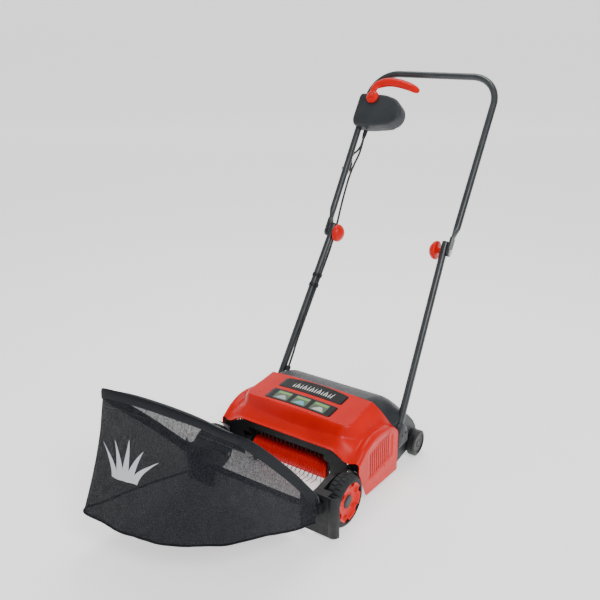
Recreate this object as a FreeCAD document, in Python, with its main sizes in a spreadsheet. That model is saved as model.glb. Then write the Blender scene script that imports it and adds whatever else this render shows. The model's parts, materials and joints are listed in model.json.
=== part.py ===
"""Electric lawn raker: red and black housing on four wheels, spring-tine cylinder, folding tube
handle with a switch box, and a mesh collecting bag on a wire hoop.

Millimetres, +Z up. The front of the machine (bag, direction of travel) is towards -Y and the
operator stands behind it, at +Y. The origin is on the ground, under the middle of the machine.
"""
import FreeCAD
import Part
import Sketcher
import math
import os

Vector = FreeCAD.Vector
X_AXIS = Vector(1, 0, 0)
Y_AXIS = Vector(0, 1, 0)
Z_AXIS = Vector(0, 0, 1)
SIDES = (("left", 1), ("right", -1))

doc = FreeCAD.newDocument("lawn_raker")

# ---------------------------------------------------------------- driving dimensions
DIMENSIONS = (
    # running gear
    ("axle_y", -245.7),
    ("wheelbase", 410.4),
    ("wheel_face_x", 255.6),
    ("front_wheel_radius", 72),
    ("front_wheel_width", 47),
    ("front_rim_radius", 54),
    ("front_axle_radius", 6),
    ("rear_wheel_radius", 40.5),
    ("rear_wheel_width", 26),
    ("rear_axle_radius", 4),
    ("running_gap", 0.05),
    # raking cylinder and belt drive
    ("drum_behind_axle", 95),
    ("drum_height", 77),
    ("drum_radius", 31),
    ("drum_half_length", 127),
    ("shaft_radius", 6),
    ("tine_reach", 72.5),
    ("tine_wire_radius", 0.9),
    ("tines_per_row", 17),
    ("tine_rows", 4),
    ("motor_behind_axle", 208),
    ("motor_height", 140),
    ("motor_radius", 40),
    ("driven_pulley_radius", 26),
    ("motor_pulley_radius", 11),
    ("pulley_plane_x", -157),
    # housing
    ("wall", 3),
    ("cover_half_width", 240),
    ("chamber_half_width", 132),
    ("chamber_radius", 76),
    ("guard_radius", 78),
    # handle
    ("tube_radius", 11),
    ("tube_wall", 1.5),
    ("joint_behind_axle", 622.8),
    ("joint_height", 595.9),
    ("lower_tube_x", 203.7),
    ("lower_tube_lean", 33.03),
    ("lower_tube_splay", 2.37),
    ("lower_tube_length", 606),
    ("lower_tube_beyond_joint", 28),
    ("upper_lean", 32.65),
    ("upper_leg_x", 225),
    ("upper_leg_length", 585),
    ("upper_bend_radius", 92),
    ("flat_thickness", 7),
    ("flat_inner_x", 217.2),
    ("bolt_radius", 3),
    ("knob_radius", 30),
    ("knob_gap", 1.2),
    ("lead_radius", 3.5),
    # collecting bag
    ("bag_wall", 3),
    ("hoop_wire_radius", 2.5),
    ("bag_socket_x", 215),
)

sheet = doc.addObject("Spreadsheet::Sheet", "Sheet")
for row, (alias, number) in enumerate(DIMENSIONS, start=1):
    sheet.set(f"A{row}", alias)
    sheet.set(f"B{row}", str(number))
    sheet.setAlias(f"B{row}", alias)
doc.recompute()

subparts = []


def size(alias):
    """The value of one cell of the sheet."""
    return float(sheet.get(alias))


def value(expression):
    """What an expression over the sheet's aliases comes to."""
    return float(sheet.evalExpression(expression))


def cells(expression):
    """The same expression as other objects of the document read it, with Sheet. before each alias."""
    words = []
    word = ""
    for letter in expression + " ":
        if letter.isalnum() or letter == "_":
            word += letter
            continue
        words.append(f"Sheet.{word}" if word in ALIASES else word)
        words.append(letter)
        word = ""
    return "".join(words).strip()


ALIASES = {alias for alias, number in DIMENSIONS}


# ---------------------------------------------------------------- PartDesign helpers
def place(item, x="0", y="0", z="0"):
    """Bind an object's position to the sheet."""
    for axis, expression in zip("xyz", (x, y, z)):
        item.setExpression(f"Placement.Base.{axis}", cells(expression))
    return item


def new_body(label):
    body = doc.addObject("PartDesign::Body", label)
    body.Label = label
    subparts.append(body)
    return body


def new_sketch(body, role, name):
    """An empty sketch on one of the body's own origin planes."""
    sketch = body.newObject("Sketcher::SketchObject", name)
    plane = next(item for item in body.Origin.OriginFeatures if item.Role == role)
    sketch.AttachmentSupport = [(plane, "")]
    sketch.MapMode = "FlatFace"
    return sketch


def hold(sketch, kind, geometry, vertex, expression):
    """Fix one coordinate of a vertex, measured from the sketch's origin."""
    if abs(value(expression)) < 1e-9:
        axis = -2 if kind == "DistanceX" else -1
        sketch.addConstraint(Sketcher.Constraint("PointOnObject", geometry, vertex, axis))
        return
    rule = Sketcher.Constraint(kind, -1, 1, geometry, vertex, value(expression))
    index = sketch.addConstraint(rule)
    sketch.setExpression(f"Constraints[{index}]", cells(expression))


def add_outline(sketch, points):
    """A closed outline of straight edges whose corners are expressions."""
    corners = [Vector(value(a), value(b), 0) for a, b in points]
    first = sketch.GeometryCount
    count = len(corners)
    for index in range(count):
        sketch.addGeometry(Part.LineSegment(corners[index], corners[(index + 1) % count]))
    for index in range(count):
        following = first + (index + 1) % count
        sketch.addConstraint(Sketcher.Constraint("Coincident", first + index, 2, following, 1))
    for index, (a, b) in enumerate(points):
        hold(sketch, "DistanceX", first + index, 1, a)
        hold(sketch, "DistanceY", first + index, 1, b)


def add_circle(sketch, a, b, radius):
    """A circle whose centre and radius are expressions."""
    circle = Part.Circle(Vector(value(a), value(b), 0), Z_AXIS, value(radius))
    index = sketch.addGeometry(circle)
    hold(sketch, "DistanceX", index, 3, a)
    hold(sketch, "DistanceY", index, 3, b)
    rule = sketch.addConstraint(Sketcher.Constraint("Radius", index, value(radius)))
    sketch.setExpression(f"Constraints[{rule}]", cells(radius))


def turned(label, points, x="0", y="0", z="0"):
    """A piece turned about an axis along X: points are (place along the axis, radius)."""
    body = new_body(label)
    sketch = new_sketch(body, "XY_Plane", label + "_profile")
    add_outline(sketch, points)
    turn = body.newObject("PartDesign::Revolution", label + "_turn")
    turn.Profile = sketch
    turn.ReferenceAxis = (sketch, ["H_Axis"])
    turn.Angle = 360
    sketch.Visibility = False
    return place(body, x, y, z)


def along(side, points):
    """The same turned profile, with its axial places mirrored for the other side."""
    return [(f"{side} * ({a})", b) for a, b in points]


# ---------------------------------------------------------------- Part helpers
def feature(label, shape, placement=None):
    """A piece whose shape comes from Part's own functions."""
    item = doc.addObject("Part::Feature", label)
    item.Label = label
    item.Shape = shape
    if placement is not None:
        item.Placement = placement
    subparts.append(item)
    return item


def at(x, y, z):
    """A point given from the front axle's line: y is measured backwards from the axle."""
    return Vector(x, size("axle_y") + y, z)


def box(x0, x1, y0, y1, z0, z1):
    return Part.makeBox(x1 - x0, y1 - y0, z1 - z0, at(x0, y0, z0))


def rod(radius, start, end):
    return Part.makeCylinder(radius, start.distanceToPoint(end), start, end - start)


def across(radius, x0, x1, y, z):
    """A cylinder along X between two places, on the line y, z."""
    return rod(radius, at(min(x0, x1), y, z), at(max(x0, x1), y, z))


def fused(shapes):
    return shapes[0].multiFuse(shapes[1:]).removeSplitter()


def prism(points, x0, x1):
    """A side outline of (y, z) points, extruded along X."""
    corners = [at(x0, y, z) for y, z in points]
    face = Part.Face(Part.makePolygon(corners + corners[:1]))
    return face.extrude(Vector(x1 - x0, 0, 0))


def stations(outlines):
    """A straight-sided solid through side outlines that stand at different places along X."""
    wires = []
    for x, points in outlines:
        corners = [at(x, y, z) for y, z in points]
        wires.append(Part.makePolygon(corners + corners[:1]))
    return Part.makeLoft(wires, True, True)


def bent_path(points):
    """Straight runs joined by tangent arcs, each as large as its two runs allow."""
    edges = []
    radii = []
    start = points[0]
    for index in range(1, len(points) - 1):
        corner = points[index]
        back = points[index - 1] - corner
        ahead = points[index + 1] - corner
        reach = 0.45 * min(back.Length, ahead.Length)
        turn = math.pi - back.getAngle(ahead)
        radii.append(reach / math.tan(turn / 2))
        back.normalize()
        ahead.normalize()
        arc_start = corner + back * reach
        arc_end = corner + ahead * reach
        middle_way = back + ahead
        middle_way.normalize()
        inset = radii[-1] * (1 / math.cos(turn / 2) - 1)
        edges.append(Part.LineSegment(start, arc_start).toShape())
        edges.append(Part.Arc(arc_start, corner + middle_way * inset, arc_end).toShape())
        start = arc_end
    edges.append(Part.LineSegment(start, points[-1]).toShape())
    return Part.Wire(edges), radii


def bent_rod(points, radius, name):
    """A round rod or cord along a route; its volume is checked against section times length."""
    path, radii = bent_path(points)
    ring = Part.Wire(Part.makeCircle(radius, points[0], points[1] - points[0]))
    shape = path.makePipeShell([ring], True, False)
    wanted = math.pi * radius ** 2 * path.Length
    print(f"{name}: length {path.Length:.1f}, radii", [round(r, 1) for r in radii],
          f"volume ratio {shape.Volume / wanted:.4f}")
    if abs(shape.Volume / wanted - 1) > 0.01:
        raise RuntimeError(f"{name}: the sweep has the wrong volume")
    return shape


# ---------------------------------------------------------------- front wheels
AXLE_Y = "axle_y"
REAR_Y = "axle_y + wheelbase"
DRUM_Y = "axle_y + drum_behind_axle"

TYRE = (("-2", "front_rim_radius"), ("-2", "front_wheel_radius - 8"), ("-8", "front_wheel_radius"),
        ("6 - front_wheel_width", "front_wheel_radius"), ("0 - front_wheel_width", "front_wheel_radius - 8"),
        ("0 - front_wheel_width", "front_rim_radius"))
HUB = (("-3", "front_rim_radius - running_gap"), ("1 - front_wheel_width", "front_rim_radius - running_gap"),
       ("1 - front_wheel_width", "front_rim_radius - 6"), ("-17", "front_rim_radius - 6"), ("-17", "12"),
       ("1 - front_wheel_width", "12"), ("1 - front_wheel_width", "front_axle_radius + running_gap"),
       ("-14", "front_axle_radius + running_gap"), ("-14", "20"),
       ("-11", "front_rim_radius - 6"), ("-3", "front_rim_radius - 6"))
HUB_CAP = (("-13.9", "0"), ("-13.9", "12"), ("-10", "12"), ("-8.5", "9"), ("-8", "0"))
STUB_AXLE = (("-92", "0"), ("-92", "front_axle_radius"), ("-53", "front_axle_radius"), ("-53", "10"),
             ("-50", "10"), ("-50", "front_axle_radius"), ("-16", "front_axle_radius"), ("-16", "0"))


def front_hub(name, side):
    body = turned(f"front_hub_{name}", along(side, HUB), f"{side} * wheel_face_x", AXLE_Y,
                  "front_wheel_radius")
    solid = body.Tip
    doc.recompute()
    window = new_sketch(body, "YZ_Plane", f"front_hub_{name}_window")
    add_circle(window, "0", "front_rim_radius * 0.56", "front_rim_radius * 0.2")
    window.AttachmentOffset = FreeCAD.Placement(Vector(0, 0, -side * 30), FreeCAD.Rotation())
    cut = body.newObject("PartDesign::Pocket", f"front_hub_{name}_cut")
    cut.Profile = window
    cut.Length = 28
    cut.Reversed = side > 0
    pattern = body.newObject("PartDesign::PolarPattern", f"front_hub_{name}_windows")
    pattern.Originals = [cut]
    axis = next(item for item in body.Origin.OriginFeatures if item.Role == "X_Axis")
    pattern.Axis = (axis, [""])
    pattern.Occurrences = 6
    pattern.Angle = 360
    body.Tip = pattern
    doc.recompute()
    if pattern.Shape.Volume > 0.97 * solid.Shape.Volume:
        raise RuntimeError("the hub windows cut nothing")


for name, side in SIDES:
    face = f"{side} * wheel_face_x"
    turned(f"front_tyre_{name}", along(side, TYRE), face, AXLE_Y, "front_wheel_radius")
    front_hub(name, side)
    turned(f"front_hub_cap_{name}", along(side, HUB_CAP), face, AXLE_Y, "front_wheel_radius")
    turned(f"front_axle_{name}", along(side, STUB_AXLE), face, AXLE_Y, "front_wheel_radius")

# ---------------------------------------------------------------- rear wheels
REAR_WHEEL = (("-1", "rear_wheel_radius - 6"), ("-4", "rear_wheel_radius"),
              ("3 - rear_wheel_width", "rear_wheel_radius"), ("0 - rear_wheel_width", "rear_wheel_radius - 4"),
              ("0 - rear_wheel_width", "rear_axle_radius + running_gap"),
              ("-8", "rear_axle_radius + running_gap"), ("-8", "10"), ("-4", "12"),
              ("-4", "rear_wheel_radius - 12"), ("-1", "rear_wheel_radius - 9"))
REAR_CAP = (("-7.9", "0"), ("-7.9", "9.9"), ("-4", "9.9"), ("-3", "7"), ("-3", "0"))

for name, side in SIDES:
    face = f"{side} * wheel_face_x"
    turned(f"rear_wheel_{name}", along(side, REAR_WHEEL), face, REAR_Y, "rear_wheel_radius")
    turned(f"rear_wheel_cap_{name}", along(side, REAR_CAP), face, REAR_Y, "rear_wheel_radius")

rear_axle = doc.addObject("Part::Cylinder", "rear_axle")
rear_axle.Label = "rear_axle"
rear_axle.setExpression("Radius", cells("rear_axle_radius"))
rear_axle.setExpression("Height", cells("2 * wheel_face_x - 20"))
rear_axle.Placement = FreeCAD.Placement(Vector(0, 0, 0), FreeCAD.Rotation(Y_AXIS, 90))
place(rear_axle, "10 - wheel_face_x", REAR_Y, "rear_wheel_radius")
subparts.append(rear_axle)

# ---------------------------------------------------------------- raking cylinder
DRUM = (("0 - drum_half_length", "shaft_radius"), ("0 - drum_half_length", "drum_radius"),
        ("drum_half_length", "drum_radius"), ("drum_half_length", "shaft_radius"),
        ("drum_half_length - 6", "shaft_radius"), ("drum_half_length - 6", "drum_radius - 3"),
        ("6 - drum_half_length", "drum_radius - 3"), ("6 - drum_half_length", "shaft_radius"))
turned("rake_drum", DRUM, "0", DRUM_Y, "drum_height")

RAKE_SHAFT = (("-167", "0"), ("-167", "shaft_radius"), ("145", "shaft_radius"), ("145", "0"))
turned("rake_shaft", RAKE_SHAFT, "0", DRUM_Y, "drum_height")

BEARING = (("0", "shaft_radius + running_gap"), ("0", "13"), ("4", "13"), ("4", "16"), ("8", "16"),
           ("8", "shaft_radius + running_gap"))
for name, side in SIDES:
    start = f"{side} * chamber_half_width"
    turned(f"rake_bearing_{name}", along(side, BEARING), start, DRUM_Y, "drum_height")


def pulley_outline(radius, bore):
    """A flat belt pulley with two low rims."""
    return (("-7", bore), ("-7", f"{radius} + 3"), ("-5", f"{radius} + 3"), ("-5", radius),
            ("5", radius), ("5", f"{radius} + 3"), ("7", f"{radius} + 3"), ("7", bore))


turned("rake_pulley", pulley_outline("driven_pulley_radius", "shaft_radius"),
       "pulley_plane_x", DRUM_Y, "drum_height")
MOTOR_Y = "axle_y + motor_behind_axle"
turned("motor_pulley", pulley_outline("motor_pulley_radius", "5"), "pulley_plane_x", MOTOR_Y, "motor_height")

ROTOR = (("-167", "0"), ("-167", "5"), ("-76", "5"), ("-76", "22"), ("-14", "22"), ("-14", "12"),
         ("6", "12"), ("6", "5"), ("32", "5"), ("32", "0"))
turned("motor_rotor", ROTOR, "0", MOTOR_Y, "motor_height")
MOTOR_CAN = (("-98", "5 + running_gap"), ("-98", "14"), ("-90", "motor_radius"), ("18", "motor_radius"),
             ("26", "14"), ("26", "5 + running_gap"), ("22", "5 + running_gap"), ("14", "motor_radius - 4"),
             ("-86", "motor_radius - 4"), ("-94", "5 + running_gap"))
turned("motor_can", MOTOR_CAN, "0", MOTOR_Y, "motor_height")


def rake_tines():
    """Rows of thin spring tines that stand out of the drum and lean back at their tips."""
    reach = size("tine_reach")
    wire = size("tine_wire_radius")
    per_row = int(size("tines_per_row"))
    rows = int(size("tine_rows"))
    half = size("drum_half_length") - 10
    centre = at(0, size("drum_behind_axle"), size("drum_height"))
    tines = []
    for row in range(rows):
        count = per_row - row % 2
        for index in range(count):
            x = (index - (count - 1) / 2) * 2 * half / (per_row - 1)
            foot = Vector(x, 0, size("drum_radius") + 0.2)
            knee = Vector(x, 0, reach * 0.7)
            tip = Vector(x, reach * 0.16, reach * 0.98)
            path = bent_path([foot, knee, tip])[0]
            ring = Part.Wire(Part.makeCircle(wire, foot, Z_AXIS))
            tine = path.makePipeShell([ring], True, False)
            tine.rotate(Vector(0, 0, 0), X_AXIS, 20 + row * 360 / rows)
            tine.translate(centre)
            tines.append(tine)
    return Part.makeCompound(tines)


feature("rake_tines", rake_tines())


def loop_outline(big, small, gap):
    """The outline of a belt round both pulleys, offset outwards by gap, as a face."""
    big_centre = at(0, size("drum_behind_axle"), size("drum_height"))
    small_centre = at(0, size("motor_behind_axle"), size("motor_height"))
    big += gap
    small += gap
    way = small_centre - big_centre
    distance = way.Length
    way.normalize()
    normal = Vector(0, -way.z, way.y)
    lean = math.asin((big - small) / distance)
    upper = way * math.sin(lean) + normal * math.cos(lean)
    lower = way * math.sin(lean) - normal * math.cos(lean)
    big_up, big_low = big_centre + upper * big, big_centre + lower * big
    small_up, small_low = small_centre + upper * small, small_centre + lower * small
    edges = [Part.LineSegment(big_up, small_up).toShape(),
             Part.Arc(small_up, small_centre + way * small, small_low).toShape(),
             Part.LineSegment(small_low, big_low).toShape(),
             Part.Arc(big_low, big_centre - way * big, big_up).toShape()]
    return Part.Face(Part.Wire(edges))


def loop_band(inner_gap, outer_gap, x0, x1):
    """A band between two offsets of the belt's outline."""
    big = size("driven_pulley_radius")
    small = size("motor_pulley_radius")
    shift = Vector(x0, 0, 0)
    length = Vector(x1 - x0, 0, 0)
    outer = loop_outline(big, small, outer_gap).translated(shift).extrude(length)
    inner = loop_outline(big, small, inner_gap).translated(shift).extrude(length)
    return outer, outer.cut(inner)


belt_x = size("pulley_plane_x")
feature("drive_belt", loop_band(0.3, 2.8, belt_x - 4.5, belt_x + 4.5)[1])

guard_end, guard_rim = loop_band(4.9, 7.3, -172, -136.2)
guard_plate = guard_end.common(box(-172, -169.5, -100, 400, 0, 300))
feature("belt_guard", guard_rim.fuse(guard_plate).removeSplitter())

motor_y = size("motor_behind_axle")
motor_z = size("motor_height")
floor_top = 55
mount = box(-70, 0, motor_y - 30, motor_y + 30, floor_top, motor_z - 20)
feature("motor_mount", mount.cut(across(size("motor_radius"), -80, 10, motor_y, motor_z)))

# ---------------------------------------------------------------- base pan
chamber = size("chamber_half_width")
drum_y = size("drum_behind_axle")
drum_z = size("drum_height")
side_wall = 4
lip_front = 58.5
lip_back = 61.5
axle_z = size("front_wheel_radius")
arch_inner = 206
liner_radius = size("guard_radius")


CLOSING_FRONT = 70
FRONT_BOARD = ((-213.5, 128), (-213.5, 134), (-190, 148), (-150, 166), (-60, 169), (60, 169), (150, 166),
               (190, 148), (213.5, 134), (213.5, 128), (134, 128), (134, 146), (-134, 146), (-134, 128))


def base_pan():
    """Black tray: cylinder chamber, side walls, front board, liners and closing plates behind the front
    wheels, motor floor."""
    radius = size("chamber_radius")
    wall = size("wall")
    outside = chamber + side_wall
    floor_front = drum_y + math.sqrt(radius ** 2 - (drum_z - floor_top + wall) ** 2)
    tunnel = across(radius + wall, -chamber, chamber, drum_y, drum_z)
    tunnel = tunnel.cut(across(radius, -chamber - 5, chamber + 5, drum_y, drum_z))
    tunnel = tunnel.common(box(-chamber - 5, chamber + 5, lip_back, 220, floor_top - wall, 200))
    side_outline = ((lip_front, 128), (lip_front, 160), (92, 164), (140, 150), (174, 110), (174, 14),
                    (86, 14), (78, 30), (78, 110))
    pieces = [tunnel]
    for side in (1, -1):
        low, high = sorted((side * chamber, side * outside))
        pieces.append(prism(side_outline, low, high))
        low, high = sorted((side * 152, side * arch_inner))
        pieces.append(box(low, high, lip_front, lip_back, 46, 130))
        low, high = sorted((side * (arch_inner - 2), side * 236.5))
        liner = across(liner_radius + wall, low, high, 0, axle_z)
        liner = liner.cut(across(liner_radius, low - 5, high + 5, 0, axle_z))
        pieces.append(liner.common(box(low, high, 46, 90, 60, 140)))
        low, high = sorted((side * arch_inner, side * 236.5))
        pieces.append(box(low, high, CLOSING_FRONT, CLOSING_FRONT + wall, 108, 140))
        low, high = sorted((side * 204, side * 213.5))
        pieces.append(box(low, high, lip_front, CLOSING_FRONT + wall, 124, 134))
    corners = [at(x, lip_front, z) for x, z in FRONT_BOARD]
    board = Part.Face(Part.makePolygon(corners + corners[:1]))
    pieces.append(board.extrude(Vector(0, lip_back - lip_front, 0)))
    pieces.append(box(-outside, outside, floor_front, 180, floor_top - wall, floor_top))
    pieces.append(box(-221, 221, 180, 440, floor_top - wall, floor_top))
    pan = fused(pieces)
    for side in (1, -1):
        pan = pan.cut(across(13.05, side * (chamber - 1), side * (outside + 1), drum_y, drum_z))
    return pan


feature("base_pan", base_pan())


GUARD_FRONT = -84.5
GUARD_END = 262
GUARD_BACK = -68
GUARD_FOOT = 8
GUARD_TOP = 131
ARCH_SIDE = 188
ARCH = ((ARCH_SIDE, 0), (ARCH_SIDE, 40), (190, 50), (194, 58), (200, 64), (arch_inner, 66))
CHEEK = ((GUARD_FRONT, GUARD_FOOT), (GUARD_FRONT, GUARD_TOP), (-60, GUARD_TOP), (0, 108), (0, 24),
         (-60, GUARD_FOOT))
HOOD = ((GUARD_FRONT, GUARD_TOP - 3), (GUARD_FRONT, GUARD_TOP), (-60, GUARD_TOP), (-30, 136), (0, 138),
        (0, 134), (-30, 132), (-60, GUARD_TOP - 3))
SOCKET_Y = -94


def guard_wall(side):
    """The upright front of the guard, rounded towards the wheel's outer face, with a flange on top."""
    wall = size("wall")
    outer = [at(side * x, y, GUARD_FOOT) for x, y in ((150, GUARD_FRONT), (238, GUARD_FRONT), (256.5, -79.5),
                                                      (GUARD_END, GUARD_BACK))]
    inner = [at(side * x, y, GUARD_FOOT) for x, y in ((150, GUARD_FRONT + wall), (238, GUARD_FRONT + wall),
                                                      (254.6, -77.6), (GUARD_END - wall, GUARD_BACK))]
    edges = [Part.LineSegment(outer[0], outer[1]), Part.Arc(outer[1], outer[2], outer[3]),
             Part.LineSegment(outer[3], inner[3]), Part.Arc(inner[3], inner[2], inner[1]),
             Part.LineSegment(inner[1], inner[0]), Part.LineSegment(inner[0], outer[0])]
    ring = Part.Wire([edge.toShape() for edge in edges])
    upright = Part.Face(ring).extrude(Vector(0, 0, GUARD_TOP - GUARD_FOOT))
    low, high = sorted((side * ARCH_SIDE, side * 232))
    flange = box(low, high, GUARD_FRONT, -58, GUARD_TOP - wall, GUARD_TOP)
    return [upright, flange]


def wheel_arch(side):
    """The rounded arch inboard of a front wheel, a bowl turned about the axle that carries the stub axle."""
    wall = size("wall")
    inner = [(x + wall, max(r - wall, 0)) for x, r in ARCH[:-1]] + [(arch_inner, ARCH[-1][1] - wall)]
    corners = [Vector(side * x, r, 0) for x, r in list(ARCH) + inner[::-1]]
    bowl = Part.Face(Part.makePolygon(corners + corners[:1])).revolve(Vector(0, 0, 0), X_AXIS, 360)
    bowl.translate(at(0, 0, axle_z))
    boss = across(12, side * 163, side * (ARCH_SIDE + wall), 0, axle_z)
    low, high = sorted((side * 150, side * 240))
    return bowl.fuse(boss).common(box(low, high, -82, lip_front, 12, 150))


def wheel_guard(side):
    """Black guard round the inside and front of a front wheel, with the socket for the bag's hoop."""
    socket_x = side * size("bag_socket_x")
    block = box(socket_x - 9, socket_x + 9, SOCKET_Y - 9, GUARD_FRONT + 1, 84, 110)
    cheek = prism(CHEEK, side * ARCH_SIDE, side * (ARCH_SIDE + 3))
    hood = prism(HOOD, side * ARCH_SIDE, side * arch_inner)
    guard = fused(guard_wall(side) + [wheel_arch(side), block, cheek, hood])
    wheel_space = across(size("front_wheel_radius") + 2.5, side * arch_inner, side * 258.9, 0, axle_z)
    guard = guard.cut(wheel_space)
    bore = size("hoop_wire_radius") + 0.4
    guard = guard.cut(rod(bore, at(socket_x, SOCKET_Y, 90), at(socket_x, SOCKET_Y, 112)))
    return guard.cut(across(size("front_axle_radius"), side * 160, side * 192, 0, axle_z))


for name, side in SIDES:
    feature(f"wheel_guard_{name}", wheel_guard(side))

# ---------------------------------------------------------------- red top cover
REAR_CUT = ((240, 246), (292, 134), (292, 8))


def cover_block(inset):
    """The cover as a solid; inset makes it smaller on every side for the space inside."""
    half = size("cover_half_width") - inset
    up = inset
    middle = ((55 + up, 150), (55 + up, 172 - up), (69 + up, 197 - up), (150, 206 - up), (215, 200 - up),
              (292 + up, 150 - up), (292 + up, 8 - up), (55 + up, 8 - up))
    flank = ((66 + up, 140), (66 + up, 152 - up), (82 + up, 168 - up), (150, 182 - up), (215, 172 - up),
             (292 + up, 128 - up), (292 + up, 8 - up), (66 + up, 8 - up))
    lower = stations(((-half, flank), (-half + 26, middle), (half - 26, middle), (half, flank)))
    foot_z = 180
    base = [at(-186 + up, 66 + up, foot_z), at(186 - up, 66 + up, foot_z),
            at(190 - up, 292, foot_z), at(-190 + up, 292, foot_z)]
    top = [at(-166 + up, 101 + up, 228 - up), at(166 - up, 101 + up, 228 - up),
           at(172 - up, 292, 247 - up), at(-172 + up, 292, 247 - up)]
    wires = [Part.makePolygon(ring + ring[:1]) for ring in (base, top)]
    plateau = Part.makeLoft(wires, True, True)
    return lower.fuse(plateau).removeSplitter()


def louvres():
    """The row of upright slots in each flank."""
    slots = []
    for side in (1, -1):
        for index in range(9):
            y = 131 + index * 13
            x0, x1 = sorted((side * 225, side * 245))
            slots.append(box(x0, x1, y, y + 6, 74 + index, 138 - abs(index - 4) * 2))
    return slots


def top_cover():
    wall = size("wall")
    shell = cover_block(0).cut(cover_block(wall))
    keep = prism(((40, 10), (40, 260), (236, 260), REAR_CUT[0], REAR_CUT[1], (292, 10)), -300, 300)
    shell = shell.common(keep)
    shell = shell.cut(box(-214, 214, 40, 75, 0, 165))
    shell = shell.cut(box(-300, 300, 40, 75, 0, 130))
    shell = shell.cut(across(size("guard_radius") + 4, -300, 300, 0, size("front_wheel_radius")))
    shell = shell.cut(Part.makeCompound(louvres()))
    return max(shell.Solids, key=lambda solid: solid.Volume)


feature("top_cover", top_cover())


def cover_labels():
    """Two thin printed panels on the sloping top of the cover."""
    slope = math.degrees(math.atan2(247 - 228, 292 - 101))
    panels = []
    for width, y0, depth in ((236, 116, 38), (244, 178, 34)):
        panel = Part.makeBox(width, depth, 0.5, Vector(-width / 2, 0, 0.1))
        panel.rotate(Vector(0, 0, 0), X_AXIS, slope)
        panel.translate(at(0, y0, 228 + (y0 - 101) * math.tan(math.radians(slope))))
        panels.append(panel)
    return Part.makeCompound(panels)


feature("cover_labels", cover_labels())

# ---------------------------------------------------------------- lower handle tubes
splay = math.radians(size("lower_tube_splay"))
lower_lean = math.radians(size("lower_tube_lean"))
joint_y = size("joint_behind_axle")
joint_z = size("joint_height")
tube_radius = size("tube_radius")


def lower_way(side):
    """Unit vector up a lower tube."""
    return Vector(-side * math.sin(splay), math.cos(splay) * math.sin(lower_lean),
                  math.cos(splay) * math.cos(lower_lean))


def joint_point(side):
    return at(side * size("lower_tube_x"), joint_y, joint_z)


def lower_ends(side):
    top = joint_point(side) + lower_way(side) * size("lower_tube_beyond_joint")
    return top - lower_way(side) * size("lower_tube_length"), top


for name, side in SIDES:
    foot, top = lower_ends(side)
    tube = rod(tube_radius, foot, top).cut(rod(tube_radius - size("tube_wall"), foot, top))
    hole = across(size("bolt_radius"), side * 180, side * 230, joint_y, joint_z)
    feature(f"lower_tube_{name}", tube.cut(hole))

plugs = []
for name, side in SIDES:
    foot, top = lower_ends(side)
    way = lower_way(side)
    plugs.append(rod(tube_radius, top, top + way * 3).fuse(
        rod(tube_radius - size("tube_wall") - 0.05, top - way * 12, top)))
feature("tube_end_plugs", Part.makeCompound(plugs))

LEAD_INWARD = tube_radius + size("lead_radius") + 4.4
LEAD_BEHIND = 1


def beside_lower_tube(distance, inward, behind):
    """A point beside the right lower tube, a distance down from the fold axis."""
    on_axis = joint_point(-1) - lower_way(-1) * distance
    return on_axis + Vector(inward, behind * math.cos(lower_lean), -behind * math.sin(lower_lean))


# ---------------------------------------------------------------- rear housing
REAR_TOP = ((244, 238), (300, 223), (345, 204), (400, 163), (440, 108), (452, 60), (452, 26))


def rear_block(inset):
    up = inset
    front = 296 if inset == 0 else 276
    middle = [(y - up * 0.7, z - up) for y, z in REAR_TOP] + [(front, 26 - up), (front, 132)]
    side = [(y - up * 0.7 - 4, z - up - max(0, min(38, (z - 60) * 0.4))) for y, z in REAR_TOP]
    side += [(front, 26 - up), (front, 120)]
    half = 226 - inset
    return stations(((-half, side), (-half + 24, middle), (half - 24, middle), (half, side)))


def rear_housing():
    wall = size("wall")
    shell = rear_block(0).cut(rear_block(wall))
    shell = shell.cut(prism(((230, 260), (240.6, 246), (292.6, 134), (292.6, 20), (230, 20)), -300, 300))
    shell = shell.cut(box(-300, 300, 200, 460, 0, 28))
    bosses = [box(*sorted((side * 208, side * 243)), 297, 352, 92, 136) for side in (1, -1)]
    shell = shell.multiFuse(bosses).removeSplitter()
    for side in (1, -1):
        foot, top = lower_ends(side)
        shell = shell.cut(rod(tube_radius, foot, top))
    shell = shell.cut(across(size("rear_axle_radius"), -260, 260, size("wheelbase"), size("rear_wheel_radius")))
    lead_way = (beside_lower_tube(440, LEAD_INWARD, LEAD_BEHIND), beside_lower_tube(510, LEAD_INWARD, LEAD_BEHIND))
    shell = shell.cut(rod(7.5, *lead_way))
    return max(shell.Solids, key=lambda solid: solid.Volume)


feature("rear_housing", rear_housing())

# ---------------------------------------------------------------- fold joint: bolts and knobs
BOLT = (("-42", "0"), ("-42", "bolt_radius"), ("21", "bolt_radius"), ("21", "9"), ("25", "8"), ("25", "0"))
KNOB = (("0", "bolt_radius + running_gap"), ("0", "20"), ("-4", "knob_radius - 2"), ("-8", "knob_radius"),
        ("-16", "knob_radius - 1"), ("-24", "knob_radius - 6"), ("-30", "knob_radius - 14"),
        ("-34", "knob_radius - 24"), ("-34", "bolt_radius + running_gap"))
JOINT_Y = "axle_y + joint_behind_axle"
for name, side in SIDES:
    turned(f"fold_bolt_{name}", along(side, BOLT), f"{side} * lower_tube_x", JOINT_Y, "joint_height")
    turned(f"clamp_knob_{name}", along(side, KNOB), f"{side} * (lower_tube_x - tube_radius - knob_gap)",
           JOINT_Y, "joint_height")

# ---------------------------------------------------------------- upper handle
upper_lean = size("upper_lean")
UPPER = FreeCAD.Placement(at(0, joint_y, joint_z), FreeCAD.Rotation(X_AXIS, -upper_lean))
leg_x = size("upper_leg_x")
leg_top = size("upper_leg_length")
flat_top = 46
round_from = 78


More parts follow.
